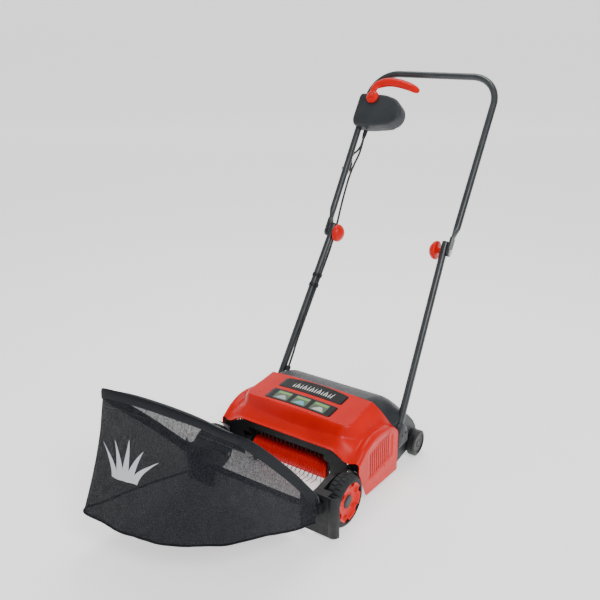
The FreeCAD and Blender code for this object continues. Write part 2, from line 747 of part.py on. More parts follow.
def upper_handle():
    """One bent tube with flattened ends, in its own frame: Z up the legs, origin on the fold axis."""
    bend = size("upper_bend_radius")
    flat = size("flat_thickness")
    flat_x = size("flat_inner_x") + flat / 2
    corner = math.cos(math.radians(45))
    left = Vector(-leg_x, 0, round_from)
    right = Vector(leg_x, 0, round_from)
    arc_left = Vector(-leg_x + bend * (1 - corner), 0, leg_top - bend * (1 - corner))
    arc_right = Vector(leg_x - bend * (1 - corner), 0, leg_top - bend * (1 - corner))
    points = (left, Vector(-leg_x, 0, leg_top - bend), Vector(-leg_x + bend, 0, leg_top),
              Vector(leg_x - bend, 0, leg_top), Vector(leg_x, 0, leg_top - bend), right)
    path = Part.Wire([Part.LineSegment(points[0], points[1]).toShape(),
                      Part.Arc(points[1], arc_left, points[2]).toShape(),
                      Part.LineSegment(points[2], points[3]).toShape(),
                      Part.Arc(points[3], arc_right, points[4]).toShape(),
                      Part.LineSegment(points[4], points[5]).toShape()])
    rings = [Part.Wire(Part.makeCircle(radius, left, Z_AXIS))
             for radius in (tube_radius, tube_radius - size("tube_wall"))]
    tube = path.makePipeShell([rings[0]], True, False).cut(path.makePipeShell([rings[1]], True, False))
    pieces = [tube]
    for side in (1, -1):
        ring = Part.Wire(Part.makeCircle(tube_radius, Vector(side * leg_x, 0, round_from), Z_AXIS))
        oval = Part.Wire(Part.Ellipse(Vector(0, 0, 0), 14, flat / 2).toShape())
        oval.Placement = FreeCAD.Placement(Vector(side * flat_x, 0, flat_top), FreeCAD.Rotation(Z_AXIS, 90))
        pieces.append(Part.makeLoft([ring, oval], True))
        ear = Part.makeBox(flat, 28, flat_top, Vector(side * flat_x - flat / 2, -14, 0))
        tongue = Part.makeCylinder(14, flat, Vector(side * flat_x - flat / 2, 0, 0), X_AXIS)
        hole = Part.makeCylinder(size("bolt_radius") + size("running_gap"), 40,
                                 Vector(side * flat_x - 20, 0, 0), X_AXIS)
        pieces.append(ear.fuse(tongue).cut(hole).removeSplitter())
    return fused(pieces)


feature("upper_handle", upper_handle(), UPPER)

# ---------------------------------------------------------------- switch box, in the handle's frame
BOX_OUTLINE = ((-242, 402), (-236, 470), (-212, 492), (-128, 486), (-84, 456), (-88, 408), (-118, 378),
               (-190, 368), (-226, 372))
BOX_SPLIT = 2
BOX_FRONT = -34
BOX_BACK = 24
PIVOT = (-186, 478)


def box_half(y0, y1, open_towards):
    """One hollow half of the switch box between two planes, its open face towards the other half."""
    outline = [Vector(x, y0, z) for x, z in BOX_OUTLINE]
    face = Part.Face(Part.makePolygon(outline + outline[:1]))
    solid = face.extrude(Vector(0, y1 - y0, 0))
    outer_y = y0 if open_towards > 0 else y1
    rim = [edge for edge in solid.Edges
           if all(abs(vertex.Y - outer_y) < 1e-6 for vertex in edge.Vertexes)]
    solid = solid.makeChamfer(7, rim)
    hollow_face = face.makeOffset2D(-2.5).translated(Vector(0, 9 if open_towards > 0 else -0.01, 0))
    hollow = hollow_face.extrude(Vector(0, y1 - y0 - 9 + 0.01, 0))
    solid = solid.cut(hollow)
    channel = Part.makeCylinder(tube_radius + 2.5, 150, Vector(-leg_x, 0, 360), Z_AXIS)
    solid = solid.fuse(channel.common(face.extrude(Vector(0, y1 - y0, 0)))).removeSplitter()
    solid = solid.cut(Part.makeCylinder(tube_radius, 200, Vector(-leg_x, 0, 330), Z_AXIS))
    return max(solid.Solids, key=lambda item: item.Volume)


def pivot_cut(radius, y0, y1):
    return Part.makeCylinder(radius, y1 - y0, Vector(PIVOT[0], y0, PIVOT[1]), Y_AXIS)


front_half = box_half(BOX_FRONT, BOX_SPLIT, 1).cut(pivot_cut(9.3, -40, -20))
feature("switch_box_front", front_half, UPPER)
feature("switch_box_back", box_half(BOX_SPLIT, BOX_BACK, -1), UPPER)


def switch_lever():
    """Pull lever: an eye round the pivot in front of the box, and an arm that rises and runs under the bar."""
    y0 = BOX_FRONT - 9.5
    depth = 9
    eye = pivot_cut(21, y0, y0 + depth)
    outline = ((-205, 486), (-196, 524), (-176, 544), (-140, 553), (-90, 552), (-40, 540), (-24, 527),
               (-34, 522), (-90, 533), (-138, 535), (-160, 528), (-168, 508), (-166, 478))
    corners = [Vector(x, y0, z) for x, z in outline]
    arm = Part.Face(Part.makePolygon(corners + corners[:1])).extrude(Vector(0, depth, 0))
    grip = [(x, z) for x, z in outline if z > 520]
    corners = [Vector(x, y0 + depth, z) for x, z in grip]
    grip_solid = Part.Face(Part.makePolygon(corners + corners[:1])).extrude(Vector(0, 18, 0))
    lever = fused([eye, arm, grip_solid])
    return lever.cut(pivot_cut(9.3, y0 - 5, y0 + depth + 5))


feature("switch_lever", switch_lever(), UPPER)
button = pivot_cut(9, BOX_FRONT - 16, -21)
feature("lock_off_button", button.makeFillet(2.5, [edge for edge in button.Edges
                                                   if abs(edge.BoundBox.YMax - BOX_FRONT + 16) < 0.01]), UPPER)
feature("microswitch", Part.makeBox(28, 10, 16, Vector(-180, -12, 420)), UPPER)


def coil_spring():
    """The lever's return spring, kept inside the box."""
    helix = Part.makeHelix(4, 24, 5)
    ring = Part.Wire(Part.makeCircle(0.7, Vector(5, 0, 0), Y_AXIS))
    spring = Part.Wire(helix.Edges).makePipeShell([ring], True, True)
    spring.translate(Vector(-140, -4, 420))
    return Part.makeCompound([spring])


feature("lever_spring", coil_spring(), UPPER)

screws = []
for x, z in ((-100, 446), (-106, 396), (-196, 384), (-196, 476)):
    head = Part.makeCylinder(4, 3, Vector(x, BOX_BACK, z), Y_AXIS)
    screws.append(head)
feature("switch_box_screws", Part.makeCompound(screws), UPPER)

# ---------------------------------------------------------------- motor lead
lead_radius = size("lead_radius")
LEAD_EXIT = Vector(-190, -6, 367.8)
PIGTAIL_EXIT = Vector(-203, 14, 368)


def relief(top, length, bore):
    """A tapered sleeve under the switch box that a cord leaves through."""
    down = Vector(0, 0, -1)
    sleeve = Part.makeCone(lead_radius + 4, lead_radius + 1.6, length, top, down)
    return sleeve.cut(Part.makeCylinder(bore, length, top, down))


def in_handle(x, y, z):
    return UPPER.multVec(Vector(x, y, z))


beside = tube_radius + lead_radius + 0.4
LEAD_ROUTE = (
    in_handle(-190, -6, 346), in_handle(-190, -2, 318), in_handle(-194, 5, 286), in_handle(-204, 9, 250),
    in_handle(-209, 10, 205), in_handle(-208, 11, 150), in_handle(-206, 13, 95), in_handle(-203, 16.5, 42),
    beside_lower_tube(5, 3, 17.5), beside_lower_tube(50, 7, 16.5), beside_lower_tube(100, beside, 4),
    beside_lower_tube(210, beside, 1.5), beside_lower_tube(300, beside + 0.6, 0.5),
    beside_lower_tube(385, beside, 1), beside_lower_tube(440, LEAD_INWARD, LEAD_BEHIND),
    beside_lower_tube(520, LEAD_INWARD, LEAD_BEHIND),
)

feature("lead_relief", relief(LEAD_EXIT, 24, lead_radius), UPPER)
feature("pigtail_relief", relief(PIGTAIL_EXIT, 20, lead_radius), UPPER)
feature("motor_lead", bent_rod(LEAD_ROUTE, lead_radius, "motor_lead"))

grommet_top = beside_lower_tube(472, LEAD_INWARD, LEAD_BEHIND)
grommet_foot = beside_lower_tube(490, LEAD_INWARD, LEAD_BEHIND)
feature("lead_grommet", rod(7.5, grommet_foot, grommet_top).cut(rod(lead_radius, grommet_foot, grommet_top)))


def cable_clip(distance):
    """A strap round the lower tube and the lead beside it."""
    way = lower_way(-1)
    middle = joint_point(-1) - way * distance
    band = rod(tube_radius + 2, middle - way * 6, middle + way * 6)
    hump_start = beside_lower_tube(distance, beside, 1.5)
    band = band.fuse(rod(lead_radius + 3, hump_start - way * 6, hump_start + way * 6)).removeSplitter()
    band = band.cut(rod(tube_radius, middle - way * 20, middle + way * 20))
    return band.cut(rod(lead_radius + 1.5, hump_start - way * 20, hump_start + way * 20))


feature("cable_clips", Part.makeCompound([cable_clip(155), cable_clip(190)]))

# ---------------------------------------------------------------- mains lead and its plug
# the plug hangs from its cord and leans outwards; its own frame has Z up along its axis
PLUG = FreeCAD.Placement(Vector(-238, 33, 282), FreeCAD.Rotation(Y_AXIS, 4))
PLUG_TIP = -66


def in_plug(z):
    return UPPER.multVec(PLUG.multVec(Vector(0, 0, z)))


PIGTAIL_ROUTE = (
    in_handle(-203, 14, 349), in_handle(-203, 18, 326), in_handle(-218, 27, 306), in_plug(12), in_plug(-16),
)
feature("mains_pigtail", bent_rod(PIGTAIL_ROUTE, lead_radius, "mains_pigtail"))


def mains_plug():
    """Round two-pin plug, its pins pointing down the handle."""
    down = Vector(0, 0, -1)
    sleeve = Part.makeCone(5, 9, 16, Vector(0, 0, 0), down)
    sleeve = sleeve.cut(Part.makeCylinder(lead_radius, 16.01, Vector(0, 0, 0.005), down))
    block = Part.makeCone(11, 14, 26, Vector(0, 0, -16), down)
    flange = Part.makeCylinder(18.5, 5, Vector(0, 0, -42), down)
    pins = [Part.makeCylinder(2.4, -47 - PLUG_TIP, Vector(shift, 0, -47), down) for shift in (-9.5, 9.5)]
    return fused([sleeve, block, flange] + pins)


feature("mains_plug", mains_plug(), UPPER.multiply(PLUG))

# ---------------------------------------------------------------- collecting bag
# side outlines of the bag at places along X: rear bottom, front bottom, front rim, rear top
BAG = (
    (-248, ((-400, 150), (-458, 132), (-372, 396), (-345, 372))),
    (-214, ((-114, 54), (-455, 128), (-372, 414), (-106, 128))),
    (-120, ((-112, 48), (-450, 118), (-371, 436), (-100, 122))),
    (40, ((-112, 48), (-424, 118), (-371, 440), (-100, 122))),
    (130, ((-112, 48), (-372, 118), (-370, 436), (-100, 122))),
    (190, ((-112, 50), (-290, 112), (-352, 404), (-102, 124))),
    (212, ((-116, 60), (-215, 96), (-290, 330), (-108, 132))),
)
HOOP_ROUTE = (
    (-215, SOCKET_Y, 92), (-215, SOCKET_Y, 131), (-231, -225, 273), (-246, -352, 408), (-205, -374, 436),
    (-120, -374, 449), (-20, -374, 454), (70, -374, 454), (150, -373, 446), (198, -350, 420),
    (209, -225, 277), (215, SOCKET_Y, 131), (215, SOCKET_Y, 92),
)


def bag_fabric():
    """The bag as a thin shell that is open along its whole mouth."""
    wall = size("bag_wall")
    inner = []
    for index, (x, outline) in enumerate(BAG):
        shift = {0: wall, len(BAG) - 1: -wall}.get(index, 0)
        rear_low, front_low, front_top, rear_top = outline
        mouth = Vector(0, front_top[0] - rear_top[0], front_top[1] - rear_top[1])
        mouth.normalize()
        out_y, out_z = 16 * mouth.z, -16 * mouth.y
        inner.append((x + shift, (
            (rear_low[0] + 14, rear_low[1] + wall),
            (front_low[0] + wall * 1.1, front_low[1] + wall * 1.1),
            (front_top[0] + wall + out_y, front_top[1] + out_z),
            (rear_top[0] + out_y, rear_top[1] + out_z))))
    return stations(BAG).cut(stations(inner))


feature("bag_fabric", bag_fabric())
hoop_points = [at(*point) for point in HOOP_ROUTE]
feature("bag_hoop", bent_rod(hoop_points, size("hoop_wire_radius"), "bag_hoop"))

collars = []
for name, side in SIDES:
    seat = at(side * size("bag_socket_x"), SOCKET_Y, 110)
    rise = Vector(0, 0, 3)
    collar = rod(6, seat, seat + rise).cut(rod(size("hoop_wire_radius"), seat, seat + rise))
    collars.append(collar)
feature("hoop_collars", Part.makeCompound(collars))

# ---------------------------------------------------------------- fasteners of the housing
screws = []
for side in (1, -1):
    for y in (314, 338):
        screws.append(rod(3.5, at(side * 243, y, 112), at(side * 246, y, 112)))
feature("socket_screws", Part.makeCompound(screws))

# ---------------------------------------------------------------- check and write
doc.recompute()
for item in doc.Objects:
    if "Invalid" in item.State or "Error" in item.State:
        raise RuntimeError(f"{item.Name} did not recompute: {item.State}")
for item in subparts:
    shape = item.Shape
    if shape.isNull() or not shape.isValid() or not shape.Solids:
        raise RuntimeError(f"{item.Label} has no valid solid")

os.makedirs("parts", exist_ok=True)
whole = FreeCAD.BoundBox()
for item in subparts:
    item.Shape.exportStep(os.path.join("parts", item.Label + ".step"))
    if item.Label not in ("mains_pigtail", "mains_plug"):
        whole.add(item.Shape.BoundBox)
    print(f"{item.Label}: {len(item.Shape.Solids)} solids, {item.Shape.Volume / 1000:.1f} cm3")
print("pieces:", len(subparts), "box:", whole)
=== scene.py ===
"""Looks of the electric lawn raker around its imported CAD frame. Metres, +Z up, front towards -Y."""
import json
import math

import bmesh
import bpy
from mathutils import Matrix, Vector, noise


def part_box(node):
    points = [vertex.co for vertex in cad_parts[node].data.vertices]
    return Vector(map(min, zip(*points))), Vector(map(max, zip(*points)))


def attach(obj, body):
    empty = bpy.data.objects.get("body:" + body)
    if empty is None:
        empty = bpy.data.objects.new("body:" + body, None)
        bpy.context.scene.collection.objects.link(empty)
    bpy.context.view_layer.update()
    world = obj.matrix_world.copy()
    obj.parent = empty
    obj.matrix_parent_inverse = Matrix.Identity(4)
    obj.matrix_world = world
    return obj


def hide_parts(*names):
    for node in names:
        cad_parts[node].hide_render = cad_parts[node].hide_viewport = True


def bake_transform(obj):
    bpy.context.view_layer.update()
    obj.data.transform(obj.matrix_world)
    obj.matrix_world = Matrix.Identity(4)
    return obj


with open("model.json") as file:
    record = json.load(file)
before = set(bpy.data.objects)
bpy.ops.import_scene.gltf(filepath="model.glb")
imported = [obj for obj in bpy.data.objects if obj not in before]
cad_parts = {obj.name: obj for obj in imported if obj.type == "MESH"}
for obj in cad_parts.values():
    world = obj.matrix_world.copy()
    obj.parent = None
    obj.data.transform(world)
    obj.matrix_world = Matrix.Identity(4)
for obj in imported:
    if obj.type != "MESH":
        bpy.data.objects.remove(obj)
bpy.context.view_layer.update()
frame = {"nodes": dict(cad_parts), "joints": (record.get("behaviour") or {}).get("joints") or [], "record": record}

NODES = frame["nodes"]
JOINTS = {joint["name"]: joint for joint in frame["joints"]}
SIDES = (("left", 1), ("right", -1))
MM = 0.001
WALL = 0.0026
VIEW_TURN = math.radians(34.8)
TUBE_LEAN = math.radians(33.03)
TUBE_SPLAY = math.radians(2.37)


def middle(node):
    low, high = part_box(node)
    return (low + high) / 2


AXLE_Y = middle("front_hub_cap_left").y
FOLD = Vector(JOINTS["handle_fold"]["pos_m"])
LEVER_AXIS = Vector(JOINTS["lever_pull"]["axis"]).normalized()
HANDLE = Matrix.Translation(FOLD) @ Matrix((
    (1, 0, 0), (0, -LEVER_AXIS.y, LEVER_AXIS.z), (0, -LEVER_AXIS.z, -LEVER_AXIS.y))).to_4x4()


def shown(name, data):
    """A new object of some data, linked to the scene."""
    made = bpy.data.objects.new(name, data)
    bpy.context.collection.objects.link(made)
    return made


def at(x, y, z):
    """A point given in millimetres, with y measured back from the front axle."""
    return Vector((x * MM, AXLE_Y + y * MM, z * MM))


def in_handle(x, y, z):
    """A point given in millimetres in the handle's own frame: Z up its legs, origin on the fold axis."""
    return HANDLE @ Vector((x * MM, y * MM, z * MM))


# ---- camera
def make_camera():
    """The viewing angle: from the front right, a little above the handle's middle."""
    rise = math.radians(21.0)
    roll = math.radians(-0.54)
    right = Vector((math.cos(VIEW_TURN), math.sin(VIEW_TURN), 0))
    forward = Vector((-math.sin(VIEW_TURN), math.cos(VIEW_TURN), 0))
    up = forward * math.sin(rise) + Vector((0, 0, math.cos(rise)))
    level_right = right * math.cos(roll) + up * math.sin(roll)
    level_up = up * math.cos(roll) - right * math.sin(roll)
    back = level_right.cross(level_up)
    data = bpy.data.cameras.new("camera")
    data.lens = 44.1
    camera = shown("camera", data)
    place = Matrix((level_right, level_up, back)).transposed().to_4x4()
    place.translation = Vector((1.0744, -1.6517, 1.2707))
    camera.matrix_world = place
    bpy.context.scene.camera = camera


make_camera()


# ---- cords
LEAD_RADIUS = 0.0035
LOWER_WAY = Vector((math.sin(TUBE_SPLAY), math.cos(TUBE_SPLAY) * math.sin(TUBE_LEAN),
                    math.cos(TUBE_SPLAY) * math.cos(TUBE_LEAN)))
LOWER_TOP = Vector((-0.2037, FOLD.y, FOLD.z))


def beside_lower_tube(distance, inward, behind):
    """A point beside the right lower tube, millimetres down from the fold axis."""
    offset = Vector((inward, behind * math.cos(TUBE_LEAN), -behind * math.sin(TUBE_LEAN)))
    return LOWER_TOP - LOWER_WAY * distance * MM + offset * MM


ALONG_HANDLE = ((-190, -6, 346), (-190, -2, 318), (-194, 5, 286), (-204, 9, 250), (-209, 10, 205),
                (-208, 11, 150), (-206, 13, 95), (-203, 16.5, 42))
ALONG_LOWER_TUBE = ((5, 3, 17.5), (50, 7, 16.5), (100, 14.9, 4), (210, 14.9, 1.5), (300, 15.5, 0.5),
                    (385, 14.9, 1), (440, 18.9, 1), (520, 18.9, 1))
LEAD_ROUTE = [in_handle(*spot) for spot in ALONG_HANDLE]
LEAD_ROUTE += [beside_lower_tube(*spot) for spot in ALONG_LOWER_TUBE]
PLUG_TILT = Matrix.Rotation(math.radians(4), 4, "Y")
PLUG_SEAT = HANDLE @ Matrix.Translation(Vector((-238, 33, 282)) * MM) @ PLUG_TILT
PIGTAIL_ROUTE = (
    in_handle(-203, 14, 349), in_handle(-203, 18, 326), in_handle(-218, 27, 306),
    PLUG_SEAT @ Vector((0, 0, 0.012)), PLUG_SEAT @ Vector((0, 0, -0.016)),
)


def spline(name, route, radius=0.0):
    """A curve object of one smooth NURBS spline along a route."""
    data = bpy.data.curves.new(name, "CURVE")
    data.dimensions = "3D"
    data.resolution_u = 12
    data.bevel_depth = radius
    data.bevel_resolution = 4
    data.use_fill_caps = radius > 0
    line = data.splines.new("NURBS")
    line.points.add(len(route) - 1)
    for point, place in zip(line.points, route):
        point.co = (*place, 1)
    line.order_u = 3
    line.use_endpoint_u = True
    return shown(name, data)


def shown_mesh(piece):
    """The mesh that an object shows, with its curve or modifiers worked out."""
    bpy.context.view_layer.update()
    return bpy.data.meshes.new_from_object(piece.evaluated_get(bpy.context.evaluated_depsgraph_get()))


# ---- materials
class Recipe:
    """A material's node tree, with short calls for the nodes that the recipes share."""

    def __init__(self, name, **constants):
        self.material = bpy.data.materials.new(name)
        self.material.use_nodes = True
        self.nodes = self.material.node_tree.nodes
        self.links = self.material.node_tree.links
        self.shader = self.nodes["Principled BSDF"]
        self.place = self.nodes.new("ShaderNodeTexCoord").outputs["Object"]
        self.normal = None
        for socket, number in constants.items():
            label = socket.replace("_", " ").title().replace("Ior", "IOR")
            self.shader.inputs[label].default_value = number

    def feed(self, socket, given):
        """Link a socket to another socket, or set it to a number, a colour or a vector."""
        if isinstance(given, bpy.types.NodeSocket):
            self.links.new(given, socket)
        else:
            socket.default_value = given

    def node(self, kind, output=0, **inputs):
        made = self.nodes.new("ShaderNode" + kind)
        for key, given in inputs.items():
            self.feed(made.inputs[key], given)
        return made.outputs[output]

    def stretched(self, x, y, z):
        return self.node("Mapping", Vector=self.place, Scale=(x, y, z))

    def noise(self, scale, detail=3.0, rough=0.5, place=None):
        return self.node("TexNoise", Vector=place or self.place, Scale=scale, Detail=detail, Roughness=rough)

    def cells(self, scale):
        return self.node("TexVoronoi", Vector=self.place, Scale=scale)

    def math(self, operation, a, b=0.0):
        made = self.nodes.new("ShaderNodeMath")
        made.operation = operation
        for socket, given in zip(made.inputs, (a, b)):
            self.feed(socket, given)
        return made.outputs[0]

    def spread(self, value, low, high, to_low=0.0, to_high=1.0):
        made = self.nodes.new("ShaderNodeMapRange")
        self.links.new(value, made.inputs["Value"])
        for key, number in (("From Min", low), ("From Max", high), ("To Min", to_low), ("To Max", to_high)):
            made.inputs[key].default_value = number
        return made.outputs[0]

    def mottle(self, scale, detail, low=0.3, high=0.7, to_low=0.0, to_high=1.0, rough=0.5):
        """Noise between low and high, stretched to run from to_low to to_high."""
        return self.spread(self.noise(scale, detail, rough), low, high, to_low, to_high)

    def blend(self, share, first, second):
        made = self.nodes.new("ShaderNodeMix")
        made.data_type = "RGBA"
        for key, given in ((0, share), (6, first), (7, second)):
            self.feed(made.inputs[key], (*given, 1) if isinstance(given, tuple) else given)
        return made.outputs[2]

    def height(self):
        """How far up the object a point is, in metres."""
        return self.node("SeparateXYZ", output=2, Vector=self.place)

    def edges(self):
        """Near 1 on convex edges and 0 elsewhere."""
        geometry = self.nodes.new("ShaderNodeNewGeometry")
        return self.spread(geometry.outputs["Pointiness"], 0.53, 0.62)

    def colour(self, value):
        self.links.new(value, self.shader.inputs["Base Color"])

    def tone(self, share, dark, light):
        """Base colour between two shades."""
        self.colour(self.blend(share, dark, light))

    def roughness(self, value):
        self.links.new(value, self.shader.inputs["Roughness"])

    def bump(self, value, distance, strength=1.0):
        made = self.nodes.new("ShaderNodeBump")
        made.inputs["Distance"].default_value = distance
        made.inputs["Strength"].default_value = strength
        self.links.new(value, made.inputs["Height"])
        if self.normal:
            self.links.new(self.normal, made.inputs["Normal"])
        self.normal = made.outputs[0]
        self.links.new(self.normal, self.shader.inputs["Normal"])


def red_gloss():
    """Glossy moulded ABS: soft flow marks, a faint ripple, paler scuffed edges."""
    paint = Recipe("red_gloss", coat_weight=0.02, coat_roughness=0.15, specular_ior_level=0.18)
    flow = paint.noise(9, 4)
    body = paint.blend(paint.spread(flow, 0.3, 0.7), (0.60, 0.0022, 0.0006), (0.72, 0.0045, 0.001))
    scuffs = paint.math("MULTIPLY", paint.edges(), paint.mottle(160, 5, 0.45, 0.62))
    paint.colour(paint.blend(scuffs, body, (0.85, 0.06, 0.03)))
    paint.roughness(paint.mottle(45, 6, 0.3, 0.75, 0.26, 0.42, rough=0.6))
    paint.bump(paint.noise(26, 2), 0.0012, 0.25)
    paint.bump(paint.noise(900, 2), 0.00012, 0.3)
    return paint.material


def moulded(name, dark, light, shine):
    """Spark-eroded moulded plastic: a fine leathery grain, dusty in its lower parts, rubbed edges."""
    plastic = Recipe(name, specular_ior_level=0.32)
    tone = plastic.blend(plastic.mottle(14, 5), dark, light)
    low_down = plastic.spread(plastic.height(), 0.12, 0.01)
    dust = plastic.math("MULTIPLY", low_down, plastic.mottle(60, 6, 0.45, 0.8, 0, 0.5, rough=0.65))
    tone = plastic.blend(dust, tone, (0.07, 0.066, 0.058))
    rub = plastic.math("MULTIPLY", plastic.edges(), plastic.mottle(220, 4, 0.4, 0.6, 0, 0.6))
    plastic.colour(plastic.blend(rub, tone, tuple(channel * 2.4 for channel in light)))
    plastic.roughness(plastic.spread(plastic.noise(90, 5), 0.3, 0.7, shine, shine + 0.16))
    plastic.bump(plastic.cells(1500), 0.00016, 0.55)
    plastic.bump(plastic.noise(700, 3), 0.0001, 0.5)
    return plastic.material


def wheel_tread():
    """Hard rubber: matt, with fine scratches round the tread and dust in the low places."""
    rubber = Recipe("wheel_tread", specular_ior_level=0.3)
    grain = rubber.noise(1, 5, place=rubber.stretched(60, 420, 420))
    tone = rubber.blend(rubber.spread(grain, 0.35, 0.7), (0.010, 0.011, 0.012), (0.028, 0.030, 0.033))
    dusty = rubber.mottle(75, 6, 0.5, 0.85, 0, 0.45, rough=0.7)
    rubber.colour(rubber.blend(dusty, tone, (0.06, 0.058, 0.054)))
    rubber.roughness(rubber.spread(grain, 0.2, 0.8, 0.55, 0.8))
    rubber.bump(rubber.noise(1100, 3), 0.00015, 0.6)
    return rubber.material


def tube_paint():
    """Powder coat on steel tube: orange peel, small scratches, darker patches."""
    coat = Recipe("tube_paint", coat_weight=0.25, coat_roughness=0.2, metallic=0.2)
    tone = coat.blend(coat.mottle(22, 4), (0.020, 0.024, 0.027), (0.034, 0.040, 0.044))
    scratch = coat.spread(coat.noise(1, 6, 0.7, coat.stretched(900, 60, 60)), 0.66, 0.74, 0, 0.35)
    coat.colour(coat.blend(scratch, tone, (0.09, 0.1, 0.105)))
    coat.roughness(coat.mottle(120, 4, 0.3, 0.7, 0.32, 0.46))
    coat.bump(coat.noise(650, 2), 0.00018, 0.5)
    return coat.material


def metal(name, dark, light, low, high, grain=(40, 900, 900)):
    """Drawn or turned metal with fine lines and a few dull patches."""
    steel = Recipe(name, metallic=1.0)
    lines = steel.noise(1, 6, 0.6, steel.stretched(*grain))
    steel.tone(steel.spread(lines, 0.3, 0.7), dark, light)
    steel.roughness(steel.spread(steel.noise(110, 5), 0.3, 0.7, low, high))
    steel.bump(lines, 0.00006, 0.5)
    return steel.material


def cord_rubber():
    """Flexible PVC sheath: satin, with shallow moulding ripples and handling marks."""
    sheath = Recipe("cord_rubber", specular_ior_level=0.4)
    sheath.tone(sheath.mottle(60, 5, 0.35, 0.7), (0.014, 0.015, 0.016), (0.034, 0.036, 0.039))
    sheath.roughness(sheath.mottle(300, 4, 0.3, 0.7, 0.42, 0.6))
    sheath.bump(sheath.noise(480, 3), 0.0002, 0.5)
    return sheath.material


def label_ink():
    """Gloss laminate over black print, faintly rippled where it is stuck down."""
    film = Recipe("label", coat_weight=0.05, coat_roughness=0.2, specular_ior_level=0.2)
    film.tone(film.mottle(300, 4, 0.4, 0.7), (0.004, 0.004, 0.0045), (0.009, 0.009, 0.010))
    film.roughness(film.mottle(55, 4, 0.3, 0.7, 0.3, 0.45))
    film.bump(film.noise(70, 2), 0.0003, 0.2)
    return film.material


def print_ink(name, colour):
    """One printed colour on the label, slightly uneven."""
    ink = Recipe(name, coat_weight=0.3)
    pale = tuple(min(1.0, channel * 1.25 + 0.02) for channel in colour)
    ink.tone(ink.mottle(500, 4), colour, pale)
    ink.roughness(ink.mottle(200, 3, 0.3, 0.7, 0.35, 0.5))
    return ink.material


def mesh_fabric():
    """Open woven polyester: fine upright threads over wider cross threads, with see-through gaps."""
    cloth = Recipe("mesh_fabric", specular_ior_level=0.12, sheen_weight=0.05, sheen_roughness=0.5)
    weave = cloth.nodes.new("ShaderNodeUVMap").outputs[0]
    across = cloth.node("SeparateXYZ", output=0, Vector=weave)
    along = cloth.node("SeparateXYZ", output=1, Vector=weave)
    threads = cloth.math("ABSOLUTE", cloth.math("SINE", cloth.math("MULTIPLY", across, math.pi / 0.0021)))
    picks = cloth.math("ABSOLUTE", cloth.math("SINE", cloth.math("MULTIPLY", along, math.pi / 0.0026)))
    cover = cloth.math("MAXIMUM", threads, cloth.math("MULTIPLY", picks, 0.85))
    blotch = cloth.noise(30, 5, 0.6)
    uneven = cloth.noise(1, 4, 0.6, cloth.node("Mapping", Vector=weave, Scale=(420, 40, 1)))
    grain = cloth.noise(240, 2, 0.5)
    cloth.tone(cloth.spread(grain, 0.35, 0.65), (0.0045, 0.0055, 0.0080), (0.0130, 0.0155, 0.0205))
    cloth.roughness(cloth.spread(blotch, 0.3, 0.7, 0.7, 0.9))
    cloth.bump(cover, 0.0005, 0.6)
    filled = cloth.spread(cover, 0.35, 0.95, 0.70, 0.97)
    opacity = cloth.math("ADD", filled, cloth.spread(uneven, 0.3, 0.7, -0.05, 0.05))
    opacity = cloth.math("ADD", opacity, cloth.spread(grain, 0.35, 0.65, -0.055, 0.045))
    cloth.links.new(opacity, cloth.shader.inputs["Alpha"])
    return cloth.material


def hem_tape():
    """Close-woven binding tape: a fine twill with fuzzy, lighter wear on its folds."""
    tape = Recipe("hem_tape", specular_ior_level=0.12, sheen_weight=0.06, sheen_roughness=0.5)
    slant = tape.nodes.new("ShaderNodeTexWave")
    tape.links.new(tape.stretched(1, 1, 1), slant.inputs["Vector"])
    slant.bands_direction = "DIAGONAL"
    slant.inputs["Scale"].default_value = 260
    slant.inputs["Distortion"].default_value = 1.5
    twill = slant.outputs["Fac"]
    wear = tape.mottle(110, 6, 0.4, 0.75, rough=0.65)
    tone = tape.blend(twill, (0.0040, 0.0050, 0.0070), (0.0110, 0.0130, 0.0165))
    tape.colour(tape.blend(tape.math("MULTIPLY", wear, 0.5), tone, (0.022, 0.025, 0.031)))
    tape.roughness(tape.spread(wear, 0, 1, 0.75, 0.92))
    tape.bump(twill, 0.0003, 0.6)
    tape.bump(tape.noise(260, 4), 0.0004, 0.4)
    return tape.material


GREY_STEEL = ((0.42, 0.42, 0.43), (0.62, 0.62, 0.63))
MATERIALS = {
    "red_gloss": red_gloss(),
    "black_plastic": moulded("black_plastic", (0.006, 0.0065, 0.0075), (0.013, 0.014, 0.016), 0.36),
    "grey_plastic": moulded("grey_plastic", (0.018, 0.021, 0.024), (0.030, 0.034, 0.039), 0.38),
    "wheel_tread": wheel_tread(),
    "tube_paint": tube_paint(),
    "steel": metal("steel", *GREY_STEEL, 0.25, 0.42),
    "spring_steel": metal("spring_steel", (0.03, 0.03, 0.032), (0.09, 0.09, 0.095), 0.35, 0.5),
    "copper": metal("copper", (0.5, 0.22, 0.1), (0.75, 0.38, 0.2), 0.25, 0.45, (900, 60, 60)),
    "cord_rubber": cord_rubber(),
    "brass_pin": metal("brass_pin", (0.6, 0.56, 0.48), (0.75, 0.7, 0.6), 0.2, 0.35),
    "label": label_ink(),
    "mesh_fabric": mesh_fabric(),
}
HEM_TAPE = hem_tape()
BAG_INK = print_ink("bag_ink", (0.46, 0.48, 0.52))
STITCH_THREAD = print_ink("stitch_thread", (0.012, 0.014, 0.018))


def settle(piece, body, slot, *nodes, material=None):
    """Give a piece its finish and the body it moves with, and hide the CAD nodes it stands for."""
    piece.data.materials.clear()
    piece.data.materials.append(material or MATERIALS[slot])
    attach(piece, body)
    if nodes:
        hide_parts(*nodes)
    return piece


# ---- mesh helpers
def link_mesh(name, mesh, sharp=math.radians(35)):
    mesh.shade_smooth()
    mesh.set_sharp_from_angle(angle=sharp)
    return shown(name, mesh)


